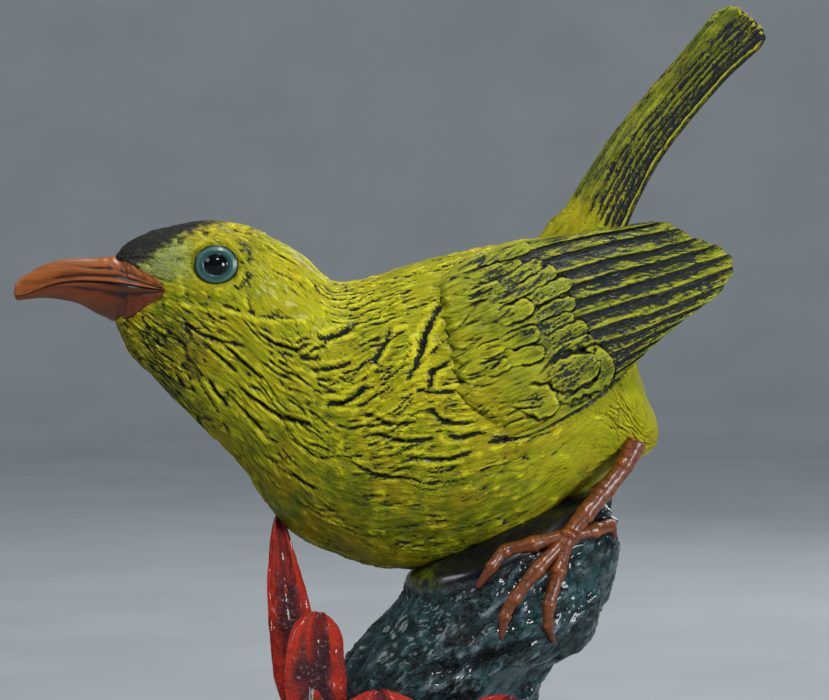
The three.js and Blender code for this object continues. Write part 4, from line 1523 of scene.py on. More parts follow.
        # the wash follows light, so it holds the painted shade and highlights of the feathers as
        # well as dark paint in the hollows
        wash = np.clip(0.98 - 1.45 * light + 1.2 * smooth(hollow, 0.08, 0.5), 0, 1)
        seam = (
            bell(s + 0.07 * lobes, 0.075, 0.016)
            * smooth(noise(stacked(0.0, t * 5), 34), -0.15, 0.1)
        )
        wash = np.clip(wash * mix(1, 0.75, ahead) + 0.7 * seam, 0, 1)
        merge = smooth(np.maximum(t - 0.90, 0.07 - t), -0.05, 0.10) * (1 - smooth(s, 0.45, 0.7))
        deep, side = sheet.deep, float(self.side.value)
        s_at, t_at, lift = sheet.pick(s), sheet.pick(t), sheet.pick(height - 0.35 - 2.2 * merge)
        depth = mix(WING_ROOT, WING_EDGE, smooth(s_at, 0.3, 0.75))
        sink = FRONT_SINK * (1 - smooth(s_at + 0.07 * sheet.pick(lobes), 0.02, 0.12))
        surface = np.clip(1 - deep, 0, 1)
        rounded = np.where(deep > 0, (lift - 0.3) * surface, lift)
        s_back = np.where(deep > 0.7, sheet.v * 0.97, s_at)
        t_back = np.where(deep > 0.7, sheet.u, t_at)
        place(sheet.obj, wing_point(s_back, t_back, side, sink * surface + depth * deep - rounded))
        face_outwards(sheet.obj)
        flow = stacked((x * 0.92 + z * 0.40) * UNIT * 0.15, (z * 0.92 - x * 0.40) * UNIT)
        back = 1 - surface
        store(sheet.obj, flow=sheet.pick(flow))
        store(sheet.obj, groove=sheet.pick(wash) * surface + 0.5 * back)
        store(
            sheet.obj, ridge=sheet.pick(smooth(-hollow, 0.0, 0.3) * mix(0.75, 0.9, ahead)) * surface
        )
        store(sheet.obj, tone=sheet.pick(mix(0.24 + 0.36 * light, 0.66, ahead)))
        store(sheet.obj, cap=np.zeros(len(deep)), lore=np.zeros(len(deep)))
        store(sheet.obj, dry=sheet.pick(mix(1.0, 0.35, ahead)))
        finish_piece(sheet.obj, paint, "plumage_paint", "bird")


TAIL = Table([
    [15.3, 39.5, 5.3, 4], [18.3, 43.5, 4.9, 4], [20.4, 46.6, 4.3, 3.9], [22.7, 50.8, 3.85, 4],
    [25.9, 56.1, 3.55, 4.4], [30.05, 61.4, 3.35, 5], [34.7, 66.8, 3.35, 5.8],
    [37.6, 69.9, 3.6, 6.4], [39, 71.3, 3.75, 6.7]],
)
# share of the way from the top edge to the lower one, half width and depth of each dark groove.
TAIL_GROOVES = (
    (0.06, 0.03, 0.3), (0.36, 0.025, 0.8), (0.48, 0.03, 1.0), (0.60, 0.025, 0.9), (0.70, 0.03, 1.0),
    (0.80, 0.03, 0.9), (0.91, 0.05, 1.2),
)
TAIL_EDGE = 1.4  # how thick the tail is at its edge, in millimetres
TAIL_ROUND = 2.3  # how far its tip is rounded, in the bird's units


@dataclass
class Tail:
    """The closed tail: feathers that slope to either side like a roof."""

    across: int = 150
    along: int = 190

    def build(self, paint: bpy.types.Material) -> None:
        """Lays out, carves and paints the tail.

        Args:
            paint: the material of the plumage.
        """
        sheet = Sheet("tail", self.across, self.along)
        f, u = np.meshgrid(
            np.linspace(0, 1, self.along + 1), np.linspace(-1, 1, self.across + 1), indexing="ij"
        )
        share = np.abs(u)
        sway = 0.02 * noise(stacked(f * 6, u * 3), 2)
        rough = noise(stacked(f * 46, u * 18), 14)
        fibre = noise(stacked(f * 16, u * 34), 15)
        vane = smooth(f + 0.05 * noise(stacked(f * 3, u * 6), 8), 0.22, 0.34)
        tuft = layered(stacked(f * 10, u * 11), 3, 9)
        grooves = sum(
            deepness * bell(share + sway, at, width) for at, width, deepness in TAIL_GROOVES
        )
        grooves = grooves * (0.8 + 0.9 * noise(stacked(f * 9, np.round(share * 7)), 16))
        height = (
            vane * (0.55 - 1.35 * grooves + 0.25 * rough + 0.2 * fibre)
            + (1 - vane) * 0.9 * tuft
        )
        hollow = hollows(height, 3, closed=False)
        # a painted highlight along the tail's edges and at its tip
        rim = smooth(share + 0.02 * rough, 0.955, 0.985) + 0.6 * smooth(f, 0.975, 0.995)
        plain = 1 - smooth(share + sway, 0.27, 0.34)
        dull = 0.34 - 0.14 * plain + 0.16 * smooth(hollow, 0, 0.4)
        wash = np.clip(
            mix(
                smooth(hollow, 0.05, 0.5),
                dull - 0.1 + 1.1 * grooves - 0.7 * fibre * (1 - 0.6 * plain),
                vane,
            )
            - 0.7 * rim,
            0,
            1,
        )
        light = np.clip(0.5 + 0.5 * fibre - grooves, 0, 1)
        own = share * 6 % 1.0
        deep = sheet.deep
        share_at, side = np.abs(sheet.u * 2 - 1), np.sign(sheet.u * 2 - 1)
        t = sheet.v * TAIL.last
        x, z, half, spread = (TAIL.at(t)[:, k] for k in range(4))
        ahead, behind = TAIL.at(np.minimum(t + 0.05, TAIL.last)), TAIL.at(np.maximum(t - 0.05, 0))
        way = unit((ahead - behind)[:, :2])
        surface = np.clip(1 - deep, 0, 1)
        wall = smooth(deep, 0.0, 0.33)
        tip = TAIL_ROUND * smooth(t, TAIL.last - 1, TAIL.last) * (1 - np.abs(2 * share_at - 1) ** 6)
        tip = tip + 0.45 * smooth(t, TAIL.last - 0.4, TAIL.last) * (sheet.pick(bump(own)) - 0.7)
        sunk = (
            (0.5 - sheet.pick(height)) * surface / UNIT
            + deep * TAIL_EDGE * mix(1.5, 1.0, share_at) / UNIT
        )
        fall = mix(-half, half - TAIL_EDGE / UNIT, share_at) + sunk
        out = (
            side
            * (spread * UNIT * share_at**0.8 + np.minimum(share_at * 12, 1))
            * (1 - 0.03 * deep)
        )
        place(
            sheet.obj,
            stacked(
                bird_x(x + way[:, 1] * fall + way[:, 0] * tip),
                out,
                bird_z(z - way[:, 0] * fall + way[:, 1] * tip),
            ),
        )
        face_outwards(sheet.obj)
        store(
            sheet.obj,
            flow=stacked(
                sheet.v * 66 * 0.15, (sheet.u * 2 - 1) * spread * UNIT * 1.3, deep * 2 + side
            ),
        )
        # the edge wall is painted darker, as shade
        store(sheet.obj, groove=mix(sheet.pick(wash), 0.62, wall))
        store(sheet.obj, ridge=sheet.pick(0.5 * smooth(-hollow, 0, 0.25) + 0.5 * rim) * (1 - wall))
        store(
            sheet.obj,
            tone=sheet.pick(mix(0.68, 0.15 + 0.3 * light + 0.1 * plain, vane) + 0.5 * rim)
            - 0.5 * wall,
        )
        store(sheet.obj, cap=np.zeros(len(deep)), lore=np.zeros(len(deep)))
        store(sheet.obj, dry=sheet.pick(mix(0.3, 0.85, vane) * (1 - 0.5 * rim)))
        finish_piece(sheet.obj, paint, "plumage_paint", "bird")


@dataclass
class Bill:
    """The curved bill in two halves that meet on the mouth line."""

    rings: int = 120
    sides: int = 72

    def half(self, upper: bool) -> bpy.types.Object:
        """One half of the bill.

        Args:
            upper: which half.

        Returns:
            Its object, with its masks.
        """
        f = (np.arange(self.rings) + 1) / (self.rings + 1)
        rows = BILL.at(0.02 + (BILL.last - 0.04) * f**1.15)
        x, top, bottom, half_width = (rows[:, k][:, None] for k in range(4))
        mouth = np.clip(MOUTH.where(x[:, 0])[:, 0][:, None], bottom, top)
        width = half_width if upper else np.maximum(half_width - LIP, half_width * 0.5)
        angle = turns(self.sides)
        height = np.sin(angle)
        outside = height >= -1e-9 if upper else height <= 1e-9
        edge = top if upper else bottom
        z = np.where(outside, mix(mouth, edge, np.abs(height)), mouth + (0 if upper else LIP))
        side = np.cos(angle)
        y = np.broadcast_to(
            width * UNIT * side * np.where(outside, 1, 0.96),
            np.broadcast_shapes(x.shape, angle.shape),
        )
        face_middle, face_half, face_width, egg = body_section(x)
        rise = np.clip((z - face_middle) / face_half, -0.999, 0.999)
        cheek = (
            face_width * UNIT * np.sqrt(1 - rise * rise) * (1 + egg * rise)
            + (0.35 if upper else 0.1)
        )
        cheek = cheek * smooth(x, -43.6, -41.0) * smooth(1 - np.abs(height), 0.0, 0.05)
        y = (
            np.sign(side)
            * np.where(outside & (np.abs(side) > 0.02), np.maximum(np.abs(y), cheek), np.abs(y))
        )
        points = stacked(bird_x(x * np.ones_like(y)), y, bird_z(z))
        span = np.abs(height)
        grown = smooth(x, -56, -46)
        wrinkle = (
            smooth(x, -46, -43)
            * smooth(span, 0.35, 0.6)
            * np.sin(2.2 * x * UNIT + 5 * span + 3 * noise(points * 0.25, 4))
            * 0.09
        )
        lift = 0.16 * layered(points * [0.12, 0.5, 0.5], 3, 8) + wrinkle
        if upper:
            lift = (
                lift
                - 0.42 * bell(span, 0.24, 0.07) * grown
                + 0.3 * bell(span, 0.09, 0.07) * grown
            )
            lift = lift - 0.25 * bell(span, 0.60 - 0.02 * (x + 46), 0.06) * smooth(x, -52, -46)
        else:
            lift = (
                lift
                + 0.2 * bell(span, 0.1, 0.08) * grown
                - 0.25 * bell(span, 0.28, 0.07) * grown
            )
        lift = np.where(outside, lift, 0) * smooth(x, -56.4, -55) - 0.12 * smooth(x, -56.4, -55)
        ball = Ball("bill_upper" if upper else "bill_lower", self.rings, self.sides)
        ends = [np.array([bird_x(r[0]), 0.0, bird_z(r[1])]) for r in (BILL.rows[0], BILL.rows[-1])]
        obj = ball.build(points + ring_normals(points) * lift[..., None], *ends)
        ball.paint(flow=points * [0.16, 1, 1])
        base = smooth(x, -48, -41)
        mouth_line = 0.75 * (1 - smooth(span, 0.03, 0.10 if upper else 0.07)) * smooth(x, -54, -50)
        ball.paint(
            groove=smooth(-lift, 0.16, 0.45)
            + (0.0 if upper else 0.35) * base * (1 - span)
            + mouth_line
            + np.where(outside, 0, 1)
        )
        # the upper half is lighter towards its ridge, a painted highlight; raised places are
        # lighter, sunk ones darker
        tone = (0.62 + 0.3 * span if upper else 0.34 - 0.2 * base) + 1.2 * lift
        ball.paint(tone=tone)
        return obj

    def build(self, paint: bpy.types.Material) -> None:
        """Builds both halves.

        Args:
            paint: the material of the horn.
        """
        for upper in (True, False):
            finish_piece(self.half(upper), paint, "horn_paint", "bird")


@dataclass
class Eye:
    """A dome with a ring round a glossy pupil."""

    side: Side
    rings: int = 56
    sides: int = 64

    def build(self, paint: bpy.types.Material) -> None:
        """Lays out and paints the eye.

        Args:
            paint: the eye's material.
        """
        top, bottom, half_width, egg = BODY.where(np.array([EYE_X]))[0]
        level = (EYE_Z - (top + bottom) / 2) / ((top - bottom) / 2)
        face = half_width * UNIT * math.sqrt(1 - level * level) * (1 + egg * level)
        f = np.arange(1, self.rings + 1) / self.rings
        reach = np.minimum(f / EYE_RIM, 1.0)
        pupil = PUPIL_HEIGHT * np.sqrt(np.clip(1 - (reach / 0.56) ** 2, 0, 1))
        ring = 1.25 * np.sqrt(np.clip(1 - reach**2, 0, 1)) ** 0.9 + 0.12 * bell(reach, 0.72, 0.1)
        height = np.maximum(pupil * PUPIL_SHARE, ring) - 0.2 * bell(reach, 0.545, 0.035)
        height = np.where(f > EYE_RIM, -2.4 * (f - EYE_RIM) / 0.14, height)
        reach_drawn = np.where(f > EYE_RIM, 1 - 0.3 * (f - EYE_RIM) / 0.14, reach)
        angle = turns(self.sides)
        radius = EYE_RADIUS * UNIT * reach_drawn[:, None] * np.ones(self.sides)[None, :]
        width, tall = 1.05, 0.93
        out = (
            face
            - EYE_SINK
            + height[:, None]
            + 0.045 * noise(stacked(radius, np.cos(angle) * radius, np.sin(angle) * radius), 3)
        )
        points = stacked(
            bird_x(EYE_X) + width * radius * np.cos(angle),
            self.side.value * out,
            bird_z(EYE_Z) + tall * radius * np.sin(angle),
        )
        ball = Ball(f"eye_{self.side.name.lower()}", self.rings, self.sides)
        front, back = (
            stacked(bird_x(EYE_X), self.side.value * (face - EYE_SINK + height), bird_z(EYE_Z))
            for height in (PUPIL_HEIGHT * PUPIL_SHARE, -2.6)
        )
        obj = ball.build(points, front, back)
        ball.paint(reach=np.broadcast_to(reach[:, None], radius.shape))
        finish_piece(obj, paint, "eye_paint", "bird")


# ---------------------------------------------------------------- the stump

# height, middle, half width, half depth, in shares of the perch height and of the trunk's width
# and depth.
STUMP = Table([
    [0.02, 0, 0.72, 0.7], [0.06, 0.03, 0.62, 0.62], [0.14, -0.02, 0.55, 0.55],
    [0.3, -0.03, 0.51, 0.51], [0.51, -0.03, 0.49, 0.5],
    [0.65, -0.02, 0.49, 0.49], [0.73, -0.01, 0.5, 0.5], [0.8, 0.05, 0.52, 0.51],
    [0.84, 0.165, 0.57, 0.53], [0.89, 0.262, 0.545, 0.54],
    [0.94, 0.33, 0.52, 0.54], [0.99, 0.355, 0.51, 0.53], [1.04, 0.42, 0.465, 0.49],
    [1.085, 0.52, 0.365, 0.42], [1.13, 0.63, 0.235, 0.31],
    [1.16, 0.72, 0.12, 0.17], [1.175, 0.76, 0, 0],
])
TRUNK_FOOT = 1.15  # the row of that table where the trunk leaves the ground
BARK_LEAN = 0.6  # how far the grain of the bark leans, in radians
# height in shares of the base's, and reach in shares of its width and depth.
GROUND = Table([[0, 0.47], [0.25, 0.5], [0.55, 0.47], [0.8, 0.38], [1, 0.26]])


class Zone(Enum):
    """What a ring of the stump belongs to."""

    UNDERSIDE = 0
    GROUND = 1
    TRUNK = 2


def bark_ridge(height: Array, angle: Array) -> Array:
    """The winding ridges of the trunk, in millimetres."""
    winding = np.sin(3 * angle - 8 * height) + 0.5 * np.sin(7 * angle + 11 * height + 1)
    return BARK_RELIEF * 0.5 * winding * (1 - smooth(height, 0.86, 1.02))


def stump_face(x: Array, z: Array) -> Array:
    """How far the stump's face stands from the upright plane through its middle."""
    row = STUMP.where(np.asarray(z, float) / PERCH_HEIGHT)
    middle, half_width, half_depth = row[..., 0], row[..., 1], row[..., 2]
    level = np.clip(
        (np.asarray(x, float) / TRUNK_WIDTH - middle) / np.maximum(half_width, 1e-6), -0.98, 0.98
    )
    ridge = bark_ridge(np.asarray(z, float) / PERCH_HEIGHT, -np.arccos(level))
    return (half_depth * TRUNK_DEPTH + ridge) * np.sqrt(1 - level * level)


@dataclass
class Stump:
    """The low ground and the leaning trunk in one casting."""

    rings: int = 300
    sides: int = 264

    def plain(self) -> tuple:
        """Rings from the middle of the underside over the ground and up the trunk.

        Returns:
            The rings of points, and the zone of each ring.
        """
        angle = turns(self.sides)
        uneven = 1 + 0.025 * np.sin(3 * angle + 1) + 0.02 * np.sin(5 * angle)
        flat = [(0.47 * f, 0.0, Zone.UNDERSIDE) for f in np.linspace(0.1, 1, 12)]
        for g in np.linspace(0, GROUND.last - 0.25, 52)[1:]:
            height, reach = GROUND.at(g)
            knobs = 1 + 0.12 * np.sin(4 * angle + 7 * height) * float(smooth(height, 0.2, 0.4))
            flat.append((reach, height * BASE_HEIGHT * knobs, Zone.GROUND))
        parts = [
            (
                reach * uneven * BASE_WIDTH * np.cos(angle),
                reach * uneven * BASE_DEPTH * np.sin(angle),
                level,
                zone,
            )
            for reach, level, zone in flat
        ]
        even = np.linspace(TRUNK_FOOT, STUMP.last - 0.02, 800)
        dense = STUMP.at(even)
        step = np.hypot(
            np.diff(dense[:, 0]) * PERCH_HEIGHT, np.diff(dense[:, 2]) * TRUNK_WIDTH * 0.8
        )
        total = np.concatenate([[0], np.cumsum(step)])
        t = np.interp(np.linspace(0, total[-1], self.rings - len(parts)), total, even)
        for row_t in t:
            height, middle, half_width, half_depth = STUMP.at(row_t)
            out = bark_ridge(np.array(height), angle)
            x = middle * TRUNK_WIDTH + (half_width * TRUNK_WIDTH + out) * np.cos(angle)
            parts.append(
                (
                    x,
                    (half_depth * TRUNK_DEPTH + out) * np.sin(angle),
                    height * PERCH_HEIGHT,
                    Zone.TRUNK,
                )
            )
        grid = np.stack([stacked(*part[:3])[0] for part in parts])
        return grid, np.array([part[3].value for part in parts])

    @staticmethod
    def blend_foot(grid: Array, zone: Array) -> Array:
        """Evens out the crease where the trunk leaves the ground.

        Args:
            grid: the rings of points.
            zone: the zone of each ring.

        Returns:
            The rings, eased about the crease.
        """
        start = int(np.argmax(zone == Zone.TRUNK.value))
        for _ in range(24):
            low, high = start - 22, start + 26
            weight = bell(np.arange(low, high), start, 12)[:, None, None] * 0.5
            average = (grid[low - 1:high - 1] + grid[low + 1:high + 1]) / 2
            grid[low:high] = mix(grid[low:high], average, weight)
        return grid

    def build(self, paint: bpy.types.Material) -> None:
        """Lays out, carves and paints the stump.

        Args:
            paint: the material of the bark.
        """
        grid, zone = self.plain()
        grid = self.blend_foot(grid, zone)
        height = grid[..., 2] / PERCH_HEIGHT
        across, rising = math.cos(BARK_LEAN), math.sin(BARK_LEAN)
        along, away = (
            grid[..., 0] * across + grid[..., 2] * rising,
            grid[..., 2] * across - grid[..., 0] * rising,
        )
        swirl = stacked(along * 0.42, grid[..., 1] * 0.8, away * 1.15)
        warp = np.stack([noise(grid * 0.045, k) for k in (1, 2, 3)], axis=-1) * 14
        crust = ridged((swirl + warp * 0.7) * 0.10, 4, 5)
        grain = ridged((grid + warp * 0.4) * [0.32, 0.32, 0.2], 3, 17)
        pits = layered(grid * 0.55, 3, 25)
        sole = smooth(grid[..., 2], 0.0, 2.0) * (zone > 0)[:, None]
        below = bird_z(body_rows(grid[..., 0] / UNIT)[..., 1]) - grid[..., 2]
        band = (1 - smooth(below, 2.6, 4.4)) * smooth(height, 0.9, 1.0)
        relief = 2.6 * (crust - 0.42) + 0.9 * (grain - 0.4) + 0.4 * pits
        cleft, share = path_distance(
            grid[..., 0], grid[..., 2], [(-8, 94), (3, 95), (16.8, 99.5), (29, 104)]
        )
        relief = (
            relief
            - 2.6 * bell(cleft, 0, 1.7) * bump(share)
            + 1.0 * bell(np.abs(cleft), 4.5, 2.2) * bump(share)
        )
        knot = np.hypot(grid[..., 0] - 35, (grid[..., 2] - 120) * 0.9)
        front = smooth(-grid[..., 1], 2, 6)
        relief = mix(
            relief, 0.45 * np.sin(knot * 1.5) - 0.05 * knot, front * (1 - smooth(knot, 4, 8)) * 0.7
        )
        relief = mix(relief, 0.9 * bell(below, 1.2, 2.6), band)
        relief = np.clip(relief, -3.0, 1.1) - 0.45
        fade = np.ones(len(zone))
        fade[-10:] = np.linspace(1, 0, 10)
        belly = self.under_body(grid)
        push = (
            (relief - 0.7 * (zone == Zone.GROUND.value)[:, None])
            * sole
            * fade[:, None]
            * mix(1, 0.3, belly)
        )
        points = grid + ring_normals(grid) * push[..., None]
        points = self.clear_body(points)
        points[..., 2] = np.maximum(points[..., 2], 0)
        points[zone == Zone.UNDERSIDE.value, :, 2] = 0
        ball = Ball("tree_stump_bark", self.rings, self.sides)
        obj = ball.build(points, (0, 0, 0), grid[-1].mean(axis=0))
        hollow = hollows(push, 4)
        ball.paint(groove=smooth(hollow, 0.05, 0.55))
        # the crests take the pale painted glints
        ball.paint(ridge=smooth(-hollow, 0.05, 0.5) * (1 - band))
        ball.paint(tone=0.55 + 0.9 * noise(grid * 0.055, 9))
        ball.paint(band=band)
        moss = bell(grid[..., 0], -4.5, 4) * smooth(grid[..., 2], 112, 116) * front
        ball.paint(moss=moss * smooth(pits, -0.3, 0.2))
        finish_piece(obj, paint, "bark_patina", "tree_stump")

    @staticmethod
    def under_body(points: Array) -> Array:
        """1 where the stump comes close to the bird's belly."""
        x, z = points[..., 0] / UNIT, (points[..., 2] - PERCH_HEIGHT) / UNIT
        middle, half, width, _ = body_section(x)
        depth = np.hypot((z - middle) / half, points[..., 1] / np.maximum(width * UNIT, 0.1))
        return 1 - smooth(depth, 0.95, 1.15)

    @staticmethod
    def clear_body(points: Array) -> Array:
        """Keeps the stump's top out of the bird by lowering what would enter it."""
        x = points[..., 0] / UNIT
        middle, half, width, _ = body_section(x)
        width = np.maximum(width * UNIT, 0.1)
        level = np.sqrt(np.clip(1 - (points[..., 1] / (width + 0.4)) ** 2, 0, 1))
        inside = (np.abs(points[..., 1]) < width) & (x > BODY_START) & (x < BODY_END)
        lowest = bird_z(middle) - half * UNIT * level - 0.35
        out = points.copy()
        out[..., 2] = np.where(inside & (points[..., 2] > lowest), lowest, points[..., 2])
        return out


# ---------------------------------------------------------------- the legs

SHANK = ((25.7, 17.6), (24.1, 14.4), (21.6, 11.3), (19, 8.3), (16.7, 5.5))
TOES = (
    ((16.9, 5.6), (12, 4.5), (8.4, 3.5), (6.7, 1.6), (4.7, -1.2)),
    ((16.6, 5.2), (12.6, 1.3), (9.6, -2.4), (8.4, -4.7), (7.9, -7.7)),
    ((16.5, 4.8), (15.4, 1.1), (14.1, -3.3), (14, -6), (14.8, -8.5)),
    ((16.9, 5.6), (20.2, 6), (22.3, 6.3), (23, 4.6)),
)


@dataclass
class Limb:
    """A round limb through points, with scutes across it and knuckles on it."""

    name: str
    path: list
    rings: int = 90
    sides: int = 28
    scute: float = 0.22
    pitch: float = 1.5
    claw: bool = False
    knuckle: float = 0.2

    def build(self) -> bpy.types.Object:
        """Lays the limb out, where each row of the path is x, y, z and radius in millimetres.

        Returns:
            Its object, with its masks.
        """
        table = Table(self.path)
        t = np.linspace(0.0, table.last, self.rings + 2)[1:-1]
        rows = table.at(t)
        centre, radius = rows[:, :3], np.maximum(rows[:, 3], 0.15)
        way = unit(
            table.at(np.minimum(t + 0.08, table.last))[:, :3]
            - table.at(np.maximum(t - 0.08, 0))[:, :3]
        )
        level = unit(np.cross([0.0, 1.0, 0.0], way))
        upright = np.cross(way, level)
        run = np.concatenate([[0], np.cumsum(np.linalg.norm(np.diff(centre, axis=0), axis=1))])
        angle = turns(self.sides)
        wander = run + 0.5 * noise(stacked(run * 0.5), 2)
        wave = np.abs(
            np.sin(
                np.pi
                * (wander[:, None] / self.pitch + 0.12 * np.sin(angle * 2) + 0.25 * np.sin(angle))
            )
        )
        dorsal = 0.5 + 0.5 * np.cos(angle - np.pi / 2)
        knuckle = sum(bell(t, k, 0.16) for k in range(1, table.last)) * self.knuckle
        end = smooth(t, table.last - 0.85, table.last - 0.55)[:, None] if self.claw else 0.0
        rough = (
            0.16
            * layered(stacked(run[:, None] * 0.5, np.cos(angle) * 1.4, np.sin(angle) * 1.4), 3, 6)
        )
        scutes = self.scute * (wave**0.5 - 0.7) * mix(0.4, 1.0, dorsal)
        out = radius[:, None] * (1 + knuckle[:, None]) + (scutes + rough) * (1 - end) - 0.22
        out = np.maximum(out, 0.18)
        ends = np.minimum(np.minimum(t, table.last - t) / 0.12, 1)
        cap = np.sqrt(np.clip(1 - (1 - ends) ** 2, 0.05, 1))[:, None]
        points = (
            centre[:, None]
            + level[:, None] * (out * cap * np.cos(angle))[..., None]
            + upright[:, None] * (out * cap * np.sin(angle))[..., None]
        )
        ball = Ball(self.name, self.rings, self.sides)
        obj = ball.build(points, table.rows[0][:3], table.rows[-1][:3])
        ball.paint(flow=stacked(run[:, None] * 0.2, np.cos(angle) * 3, np.sin(angle) * 3))
        # the upper side is painted lighter and the underside darker: painted highlight and painted
        # shade
        crease = (1 - smooth(wave, 0.0, 0.4)) * (1 - end)
        ball.paint(
            groove=(0.55 + 1.5 * rough) * crease * mix(0.5, 1.0, dorsal) + 0.3 * (1 - dorsal)
        )
        ball.paint(
            tone=0.36 + 0.3 * dorsal * wave + 0.7 * knuckle[:, None] - 0.25 * end + 1.2 * rough
        )
        return obj


@dataclass
class Leg:
    """Shank, foot and toes pressed against the stump."""

    side: Side
    thickness: float = 5.6
    toe: float = 4.4

    def on_face(self, point: tuple, radius: float) -> list:
        """A point of the foot, laid on the stump's face.

        Args:
            point: x and z in the bird's units.
            radius: how thick the limb is there, in millimetres.

        Returns:
            x, y, z and the radius, in millimetres.
        """
        x, z = float(bird_x(point[0])), float(bird_z(point[1]))
        out = float(stump_face(np.array(x), np.array(z))) + radius * 0.45
        return [x, self.side.value * out, z, radius]

    def build(self, paint: bpy.types.Material) -> None:
        """Lays out, joins and paints the leg.

        Args:
            paint: the material of the horn.
        """
        parts = []
        for n, toe in enumerate(TOES):
            last = len(toe) - 1
            path = []
            for k, point in enumerate(toe):
                thick = 0.42 if k == last else 1.0 if k == 0 else 1.06 - 0.08 * k
                path.append(self.on_face(point, self.toe / 2 * 0.86 * thick))
            parts.append(Limb(f"toe_{n}", path, 84, 26, 0.09, 1.6, True).build())
        foot = self.on_face(TOES[0][0], self.thickness / 2)
        shank = []
        for k, (x, z) in enumerate(SHANK):
            f = k / (len(SHANK) - 1)
            radius = self.thickness / 2 * (1.2, 0.88, 0.72)[min(k, 1) + (k == len(SHANK) - 1)]
            shank.append(
                [
                    float(bird_x(x)),
                    mix(self.side.value * 5.2 * UNIT, foot[1], f),
                    float(bird_z(z)),
                    radius,
                ]
            )
        parts.append(Limb("shank", shank, 110, 34, 0.09, 2.4, False, 0.08).build())
        plate = [
            self.on_face(point, radius)
            for point, radius in (((17.9, 7.2), 1.9), ((16.7, 5.3), 2.5), ((15.6, 3.2), 1.7))
        ]
        parts.append(Limb("foot", plate, 50, 28, 0.06, 1.8, False, 0.2).build())
        finish_piece(join(f"leg_{self.side.name.lower()}", parts), paint, "horn_paint", "bird")


# ---------------------------------------------------------------- the flower

BREAST_ROW = 8.35  # the row of the body's table where the tallest petal meets the breast
# Two pulls and the tip of each petal from the root, or None for the breast, then its half width,
# all in shares of the flower's size, and the way it faces.
PETALS = (
    ((-0.3, -0.03, 0.25), (-0.371, 0.2, 0.65), None, 0.112, (0.1, -1, 0.1)),
    ((-0.25, -0.143, 0.104), (-0.29, -0.086, 0.475), (-0.25, 0.05, 0.72), 0.115, (0.1, -1, 0.15)),
    ((-0.03, -0.26, 0.1), (-0.03, -0.26, 0.3), (-0.04, -0.14, 0.47), 0.15, (0, -1, 0.3)),
    ((0.16, -0.18, 0.1), (0.36, -0.16, 0.26), (0.413, -0.06, 0.44), 0.12, (0.3, -1, 0.2)),
    ((0.28, -0.18, -0.06), (0.48, -0.22, -0.04), (0.6, -0.12, 0.1), 0.13, (0.2, -0.8, 0.6)),
    ((0.08, -0.24, -0.1), (0.14, -0.42, -0.16), (0.18, -0.46, -0.36), 0.14, (0, -0.5, 0.9)),
    ((-0.26, -0.2, -0.06), (-0.46, -0.24, -0.06), (-0.56, -0.14, 0.08), 0.13, (-0.2, -0.8, 0.6)),
)


